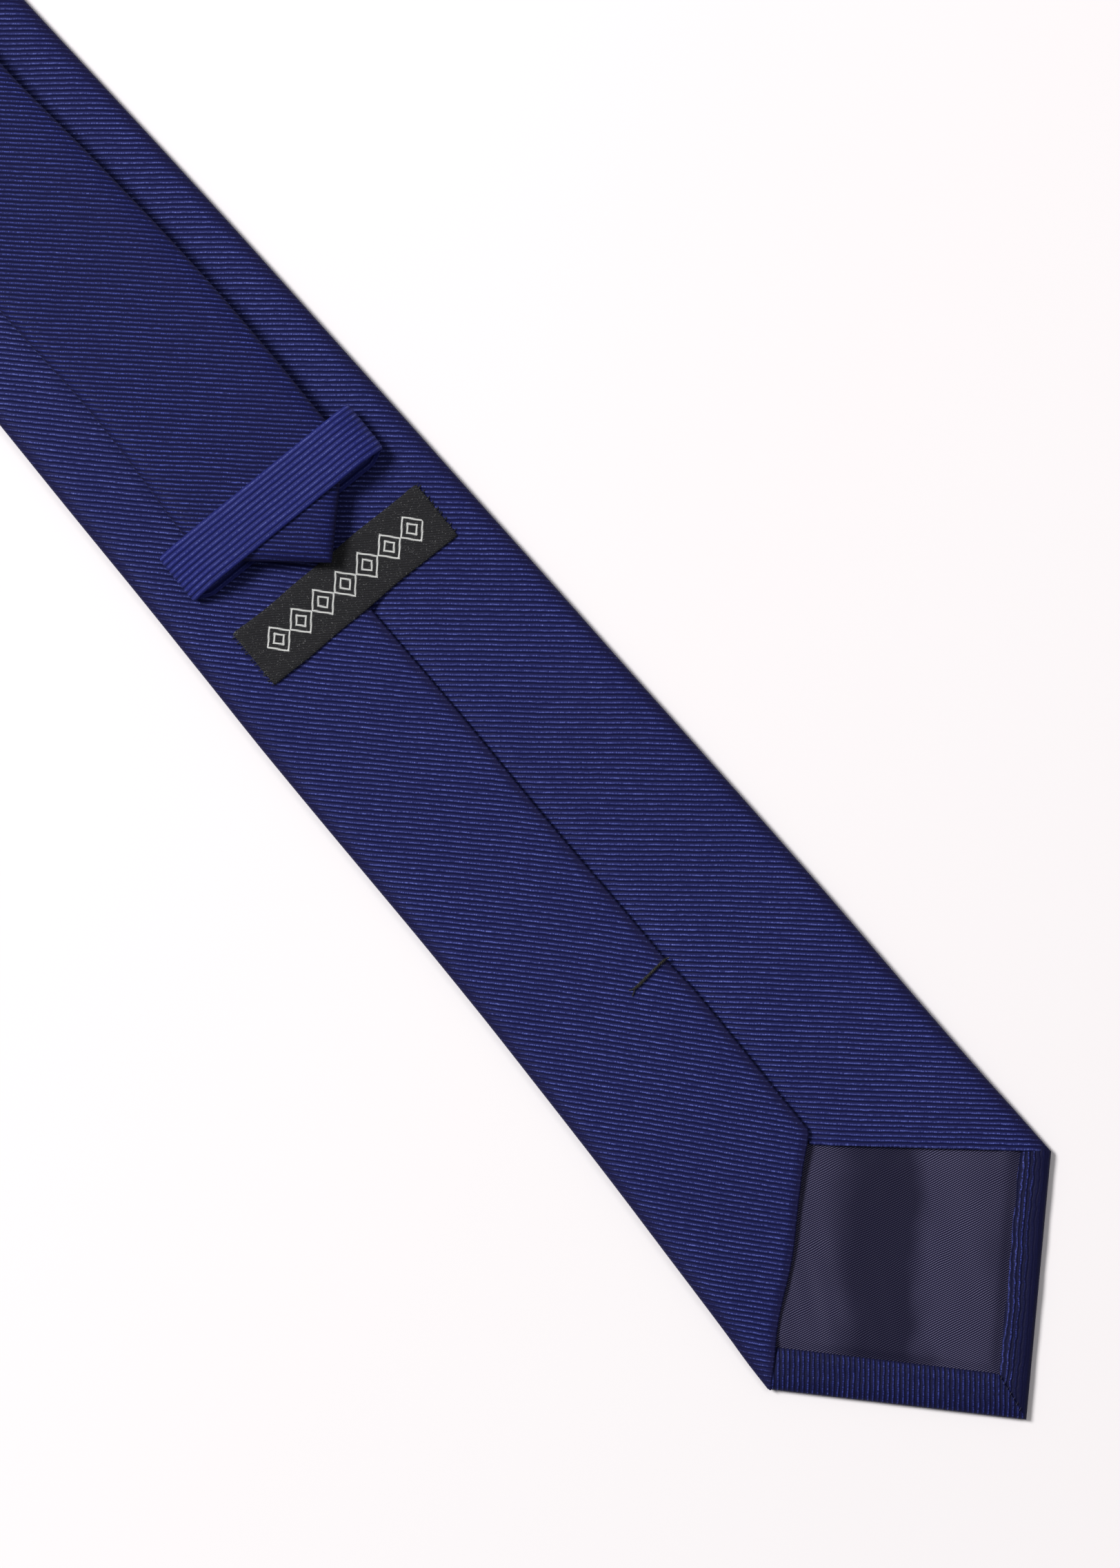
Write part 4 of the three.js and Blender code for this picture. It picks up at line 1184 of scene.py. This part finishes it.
rows = np.concatenate([np.arange(231.5, 246, 1.2), np.arange(247, 277, 3.0)])
S, Y = [], []
for s in rows:
    lo = max(T_TIP[1] + (T_L[1] - T_TIP[1]) * (s - 226.5) / 17.2 + 4.6, float(UP_L(max(s, 243.7))) + 4.2)
    hi = min(T_TIP[1] + (T_R[1] - T_TIP[1]) * (s - 226.5) / 17.2 - 4.6, float(UP_R(max(s, 243.7))) - 4.2)
    Y.append(np.linspace(lo, hi, 26))
    S.append(np.full(26, s))
S, Y = np.array(S), np.array(Y)
Z = 9.1 - 2.05 + 0.06 * ripple(X(S), Y, 51, 7)
tl = cloth("tail_lining", np.stack([X(S), Y, Z], -1), 0.22, np.stack([X(S) * 0.9 + Y * 0.44, Y * 0.9 - X(S) * 0.44, X(S)], -1),
           1, mat=LINING)
upper_blend(tl)
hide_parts("tail_tipping")


# ------------------------------------------------------------------ wool inside
def upper_wool(name, s0, s1, node, n):
    S = np.repeat(np.linspace(s0, s1, n)[:, None], 9, 1)
    t = np.linspace(0, 1, 9)[None]
    Y = (UP_L(S) + 3.6) * (1 - t) + (UP_R(S) - 3.6) * t
    Z = 9.1 - 0.75 + 0.04 * ripple(X(S), Y, 61, 15)
    ob = cloth(name, np.stack([X(S), Y, Z], -1), 0.75, np.stack([X(S), Y, 0 * Y + 9], -1), 1, mat=WOOL)
    upper_blend(ob)
    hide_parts(node)
    return ob


w_neck = upper_wool("neck_interlining", UP_TO, 640, "neck_interlining_upper", 24)
w_up = upper_wool("tail_interlining_upper_cloth", 640, 550, "tail_interlining_upper", 26)
w_mid = upper_wool("tail_interlining_middle_cloth", 550, 373, "tail_interlining_middle", 50)
w_tip = upper_wool("tail_interlining_end_cloth", 373, 247.5, "tail_interlining_tip", 50)


def bend_wool(name, a_rows, node=None):
    top, fab = [], []
    for a in a_rows:
        y = np.linspace(-13.6, 13.6, 9)
        top.append(bend_place(np.full(9, float(a)), y, np.full(9, 0.75)))
        fab.append(np.stack([np.full(9, float(a)), y, 0 * y + 9], -1))
    top = np.array(top)
    nn = normals(top, 1)
    mid = len(top) // 2
    ref = top[mid].mean(0) - np.array([float(X(BEND_S)), 0, 4.55])
    # thickness goes away from the face, towards the inside of the turn
    nn = nn * np.sign(nn[mid, 4] @ ref)
    ob = cloth(name, top, 0.7, np.array(fab), 1, mat=WOOL, nrm=nn)
    return ob


bw_low = bend_wool("fold_interlining_lower", np.concatenate([np.linspace(-43.45, -3, 9), np.linspace(0, HALF_TURN, 8)]))
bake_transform(bw_low)
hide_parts("neck_interlining_fold")
bw_up = bend_wool("fold_interlining_upper", np.concatenate([np.linspace(HALF_TURN, BEND_LEN, 8), np.linspace(BEND_LEN + 3, BEND_LEN + BEND_S - UP_TO, 18)]))
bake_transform(bw_up)

# slip stitch: one long loose thread inside the fold
def slip(name, s0, s1, y, z, n, node, how):
    s = np.linspace(s0, s1, n)
    p = np.stack([X(s), y + 0.5 * np.sin(s / 5.2), z + 0.10 * np.sin(s / 2.6)], -1)
    v, f, a = tube(name, p, 0.14, NAVY_THREAD, sides=6)
    ob = make(name, v, f, a, 80, NAVY_THREAD)
    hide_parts(node)
    how(ob)
    return ob


slip("blade_slip_thread", 128, 798, -9.7, 2.72, 900, "front_slip_stitch", lambda o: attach(o, "blade"))
slip("neck_slip_thread", UP_TO - 1, 642, -8.75, 9.1 - 2.35, 140, "neck_slip_stitch", lambda o: upper_blend(o))
slip("tail_slip_thread_upper", 638, 551, -7.4, 9.1 - 2.35, 120, "tail_slip_stitch_upper", lambda o: upper_blend(o))
slip("tail_slip_thread_middle", 549, 374, -6.4, 9.1 - 2.35, 240, "tail_slip_stitch_middle", lambda o: upper_blend(o))


# ------------------------------------------------------------------ keeper
def spline_loop(pts, n):
    """Even points along a closed Catmull-Rom loop."""
    p = np.array(pts, float)
    m = len(p)
    out = []
    for k in range(m):
        a, b, c, d = p[(k - 1) % m], p[k], p[(k + 1) % m], p[(k + 2) % m]
        for t in np.linspace(0, 1, 24, endpoint=False):
            out.append(0.5 * ((2 * b) + (c - a) * t + (2 * a - 5 * b + 4 * c - d) * t * t
                              + (3 * b - a - 3 * c + d) * t ** 3))
    out = np.array(out + [out[0]])
    L = np.concatenate([[0], np.cumsum(np.hypot(*np.diff(out, axis=0).T))])
    q = np.linspace(0, L[-1], n)
    return np.stack([np.interp(q, L, out[:, 0]), np.interp(q, L, out[:, 1])], -1), q


KS, KY, KTURN = 244.0, 1.0, math.radians(-0.9)
loop_pts = [(0, 4.34), (8, 4.34), (16, 4.34), (21.5, 4.5), (24.4, 5.3), (24.9, 6.3), (24.0, 7.6), (21.6, 9.0),
            (18.2, 9.75), (12, 9.88), (4, 9.9), (-4, 9.9), (-12, 9.88), (-16.6, 9.7), (-20.0, 8.9),
            (-23.0, 7.5), (-24.9, 6.2), (-25.0, 5.3), (-23.6, 4.6), (-20, 4.36), (-10, 4.34)]
lp, lq = spline_loop(loop_pts, 150)
KW = 11.5
nj = 73
across_w = np.linspace(-KW / 2 + 0.2, KW / 2 - 0.2, nj)     # towards larger s (up in the picture)
top = np.empty((len(lp), nj, 3))
fab = np.empty((len(lp), nj, 3))
tan = np.gradient(lp, axis=0)
tan /= np.linalg.norm(tan, axis=1, keepdims=True)
nrm2 = np.stack([tan[:, 1], -tan[:, 0]], -1)                # outwards for a loop run this way
low_part = sm(7.2, 5.0, lp[:, 1]) * sm(25.0, 20.5, np.abs(lp[:, 0]))
for i in range(len(lp)):
    w = across_w.copy()
    y0, z0 = lp[i]
    # the lower layer runs a little nearer to the wide tip than the upper one
    sh = -1.5 * low_part[i]
    endw = 1.0 + 0.02 * sm(18, 25, abs(y0))
    vph = (w + KW / 2) / 1.15
    ph = vph - np.floor(vph)
    rib = 1 - np.abs(2 * ph - 1) ** 2.6
    amp = 0.055 + 0.09 * sm(-12, -22, y0)
    border = np.minimum(w + KW / 2, KW / 2 - w)
    drop = 0.28 * (1 - sm(0.0, 1.4, border))
    wav = 0.10 * ripple(np.full(nj, y0), w, 71, 16)
    h = amp * rib - drop + wav * sm(6.5, 9.0, z0)
    yy = y0 + nrm2[i, 0] * h
    zz = z0 + nrm2[i, 1] * h
    lx, ly = -(w * endw + sh), yy
    cx = math.cos(KTURN) * lx - math.sin(KTURN) * ly
    cy = math.sin(KTURN) * lx + math.cos(KTURN) * ly
    top[i] = np.stack([X(KS) + cx, KY + cy, zz], -1)
    fab[i] = np.stack([np.full(nj, lq[i]), (w + KW / 2) * 1.17 / 1.15, border + 1.0], -1)
nn = normals(top, 1)
ref = nrm2[40]
nn = nn * np.sign((nn[40, nj // 2, 1:] * ref).sum())
keeper = cloth("keeper_band", top, 0.46, fab, 1, "j0 j1", mat=NAVY_KEEP, nrm=nn)
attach(keeper, "keeper")
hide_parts("keeper_loop")


def stitch(p0, p1, r=0.13, arch=0.25, n=9):
    p0, p1 = np.array(p0, float), np.array(p1, float)
    t = np.linspace(0, 1, n)[:, None]
    p = p0 * (1 - t) + p1 * t
    p[:, 2] += arch * np.sin(np.pi * t[:, 0])
    return tube("", p, r, None, sides=6)


parts = []
for k in range(5):
    dx = (k - 2) * 0.34
    parts.append(stitch((X(KS) + dx, KY - 0.7, 4.15), (X(KS) + dx + 0.1, KY + 0.7, 4.15), 0.12, 0.0))
ktack = threads("keeper_tack_thread", parts, NAVY_THREAD)
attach(ktack, "blade")
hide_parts("keeper_tack")


# ------------------------------------------------------------------ label
LS, LY, LTURN = 221.6, 1.75, math.radians(-0.8)


def label_place(al, ac, z):
    lx, ly = -ac, al
    cx = math.cos(LTURN) * lx - math.sin(LTURN) * ly
    cy = math.sin(LTURN) * lx + math.cos(LTURN) * ly
    return np.stack([X(LS) + cx, LY + cy, z], -1)


al = np.concatenate([np.linspace(-24.05, -21.0, 9), np.linspace(-20.6, 20.6, 64), np.linspace(21.0, 24.05, 9)])
ac = np.linspace(-6.6, 6.6, 19)
AL, AC = np.meshgrid(al, ac, indexing="ij")
yy = AL + LY
Z = 4.62 - 0.62 * sm(2.0, 9.5, yy) + 0.07 * ripple(AL, AC, 81, 17) + 0.03 * ripple(AL, AC, 82, 6)
Z -= 0.10 * (1 - sm(0, 1.2, 24.2 - np.abs(AL)))
Z -= 0.10 * (1 - sm(0, 0.8, 6.7 - np.abs(AC)))
AC2 = AC + 0.18 * ripple(AL, AC * 0, 83, 21) + 0.10 * np.sin(AL / 7)
AL2 = AL + 0.10 * ripple(AC * 3, AL * 0 + np.sign(AL) * 9, 84, 9) * sm(20, 24, np.abs(AL))
TH = 0.34 + 0.22 * (1 - sm(2.6, 3.0, 24.2 - np.abs(AL)))
label = cloth("woven_label", label_place(AL2, AC2, Z), TH, np.stack([AL, AC, 0 * AL], -1), 1,
              "i0 i1 j0 j1", mat=LABEL_MAT)
nv = label.data
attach(label, "blade")
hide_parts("label")

rng = np.random.default_rng(5)
for side, node in ((-1, "label_stitch_left"), (1, "label_stitch_right")):
    parts = []
    for k in range(9):
        c = -5.8 + k * 1.45 + rng.uniform(-0.15, 0.15)
        base = 4.02 if side < 0 else 3.24
        p = label_place(np.array([side * 23.7, side * 24.9]), np.array([c, c + 0.35]), np.array([base + 0.62, base]))
        parts.append(stitch(p[0], p[1], 0.10, 0.10))
    # a few frayed ends of the folded label
    for k in range(16):
        c = rng.uniform(-6.4, 6.4)
        l = rng.uniform(0.3, 0.8)
        base = 4.05 if side < 0 else 3.27
        p = label_place(np.array([side * 24.0, side * (24.1 + l)]), np.array([c, c + rng.uniform(-0.5, 0.5)]),
                        np.array([base + rng.uniform(0.1, 0.45), base + rng.uniform(0.05, 0.4)]))
        parts.append(stitch(p[0], p[1], 0.05, 0.05, 5))
    o = threads("label_thread_" + ("left" if side < 0 else "right"), parts, BLACK_THREAD)
    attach(o, "blade")
    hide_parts(node)


# ------------------------------------------------------------------ tacks
def twisted(p0, p1, r, amp, turns, n=70, strands=2, phase=0.0, arch=0.0):
    p0, p1 = np.array(p0, float), np.array(p1, float)
    d = (p1 - p0) / np.linalg.norm(p1 - p0)
    side = np.cross(d, [0, 0, 1.0])
    t = np.linspace(0, 1, n)
    out = []
    for k in range(strands):
        w = 2 * math.pi * (turns * t + k / strands) + phase
        p = p0 + np.outer(t, p1 - p0) + np.outer(amp * np.cos(w), side) + np.outer(amp * np.sin(w), [0, 0, 1.0])
        p[:, 2] += arch * np.sin(np.pi * t)
        out.append(tube("", p, r, None, sides=7))
    return out


P0 = np.array([float(X(119.9)), -6.3, 4.36])
P1 = np.array([float(X(120.5)), 2.35, 4.34])
parts = twisted(P0, P1, 0.17, 0.15, 9, phase=0.4)
parts += twisted(P0 + [0.1, 0.9, 0.12], P1 + [0.05, -1.2, 0.12], 0.12, 0.16, 7, phase=1.7)
parts.append(stitch(P1, P1 + [0.3, 1.0, -0.9], 0.16, 0.0))
parts.append(stitch(P0 + [0.1, 0.2, 0], P0 + [0.9, -1.1, -0.1], 0.12, 0.05))
parts.append(stitch(P0 + [0.0, 0.1, 0], P0 + [-0.5, -0.9, -0.1], 0.11, 0.05))
tack = threads("mouth_tack_thread", parts, BLACK_THREAD)
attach(tack, "blade")
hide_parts("front_bar_tack")

parts = twisted((float(X(270)), -1.3, 4.83), (float(X(270)), 4.3, 4.83), 0.12, 0.10, 6, n=50)
ttack = threads("tail_tack_thread", parts, BLACK_THREAD)
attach(ttack, "tail_end")
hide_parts("tail_bar_tack")

parts = []
mdir = (TIP - CORNER) / np.hypot(*(TIP - CORNER))
mside = np.array([-mdir[1], mdir[0]])
for k in range(7):
    c = CORNER + mdir * (0.7 + k * 1.25)
    a, b = c - mside * 0.28, c + mside * 0.28 + mdir * 0.35
    parts.append(stitch((X(a[0]), a[1], 2.72), (X(b[0]), b[1], 2.72), 0.07, 0.06, 7))
mit = threads("mitre_thread", parts, NAVY_THREAD)
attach(mit, "blade")
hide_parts("front_mitre_stitch")


# ------------------------------------------------------------------ set
bpy.ops.mesh.primitive_plane_add(size=6.0, location=(0.262, 0.009, -0.00008))
floor = bpy.context.object
floor.name = "floor"
g = Graph("paper")
n = g.noise(g.vec(0.0, 0.0, 0.0), 1.0, 1.0)
tc = g.nt.nodes.new("ShaderNodeTexCoord")
n = g.noise(tc.outputs["Object"], 3.0, 3.0, 0.5)
g.done(g.mix(g.range(n, 0.3, 0.7), lin((254, 249, 250)), lin((255, 251, 252))), 0.9, spec=0.1)
floor.data.materials.append(g.mat)

RIGHT = Vector((0.6428, 0.7660, 0.0))
UP = Vector((-0.7660, 0.6428, 0.0))
CENTRE = Vector((0.2621, 0.0092, 0.0))


def area(name, pos, size, power, target=CENTRE, color=(1, 1, 1)):
    l = bpy.data.lights.new(name, "AREA")
    l.shape = "RECTANGLE"
    l.size, l.size_y = size
    l.energy = power
    l.color = color
    o = bpy.data.objects.new(name, l)
    o.location = pos
    o.rotation_euler = (target - pos).to_track_quat("-Z", "Y").to_euler()
    bpy.context.scene.collection.objects.link(o)
    return o


area("key", CENTRE - RIGHT * 2.2 + UP * 1.15 + Vector((0, 0, 2.8)), (1.1, 1.1), 137.0)
area("top", CENTRE + RIGHT * 0.9 + UP * 0.9 + Vector((0, 0, 2.6)), (1.4, 1.0), 10.0)
world = bpy.data.worlds.new("studio")
world.use_nodes = True
bg = world.node_tree.nodes["Background"]
bg.inputs[0].default_value = (1.0, 1.0, 1.0, 1)
bg.inputs[1].default_value = 0.19
bpy.context.scene.world = world
bpy.context.scene.view_settings.view_transform = "Standard"

cam = bpy.data.cameras.new("camera")
cam.lens = 100.7
cam.sensor_width = 36
cam.sensor_fit = "AUTO"
cam.clip_start, cam.clip_end = 0.01, 20
co = bpy.data.objects.new("camera", cam)
co.matrix_world = Matrix(((RIGHT.x, UP.x, 0, CENTRE.x), (RIGHT.y, UP.y, 0, CENTRE.y),
                          (0, 0, 1, 0.904), (0, 0, 0, 1)))
bpy.context.scene.collection.objects.link(co)
bpy.context.scene.camera = co
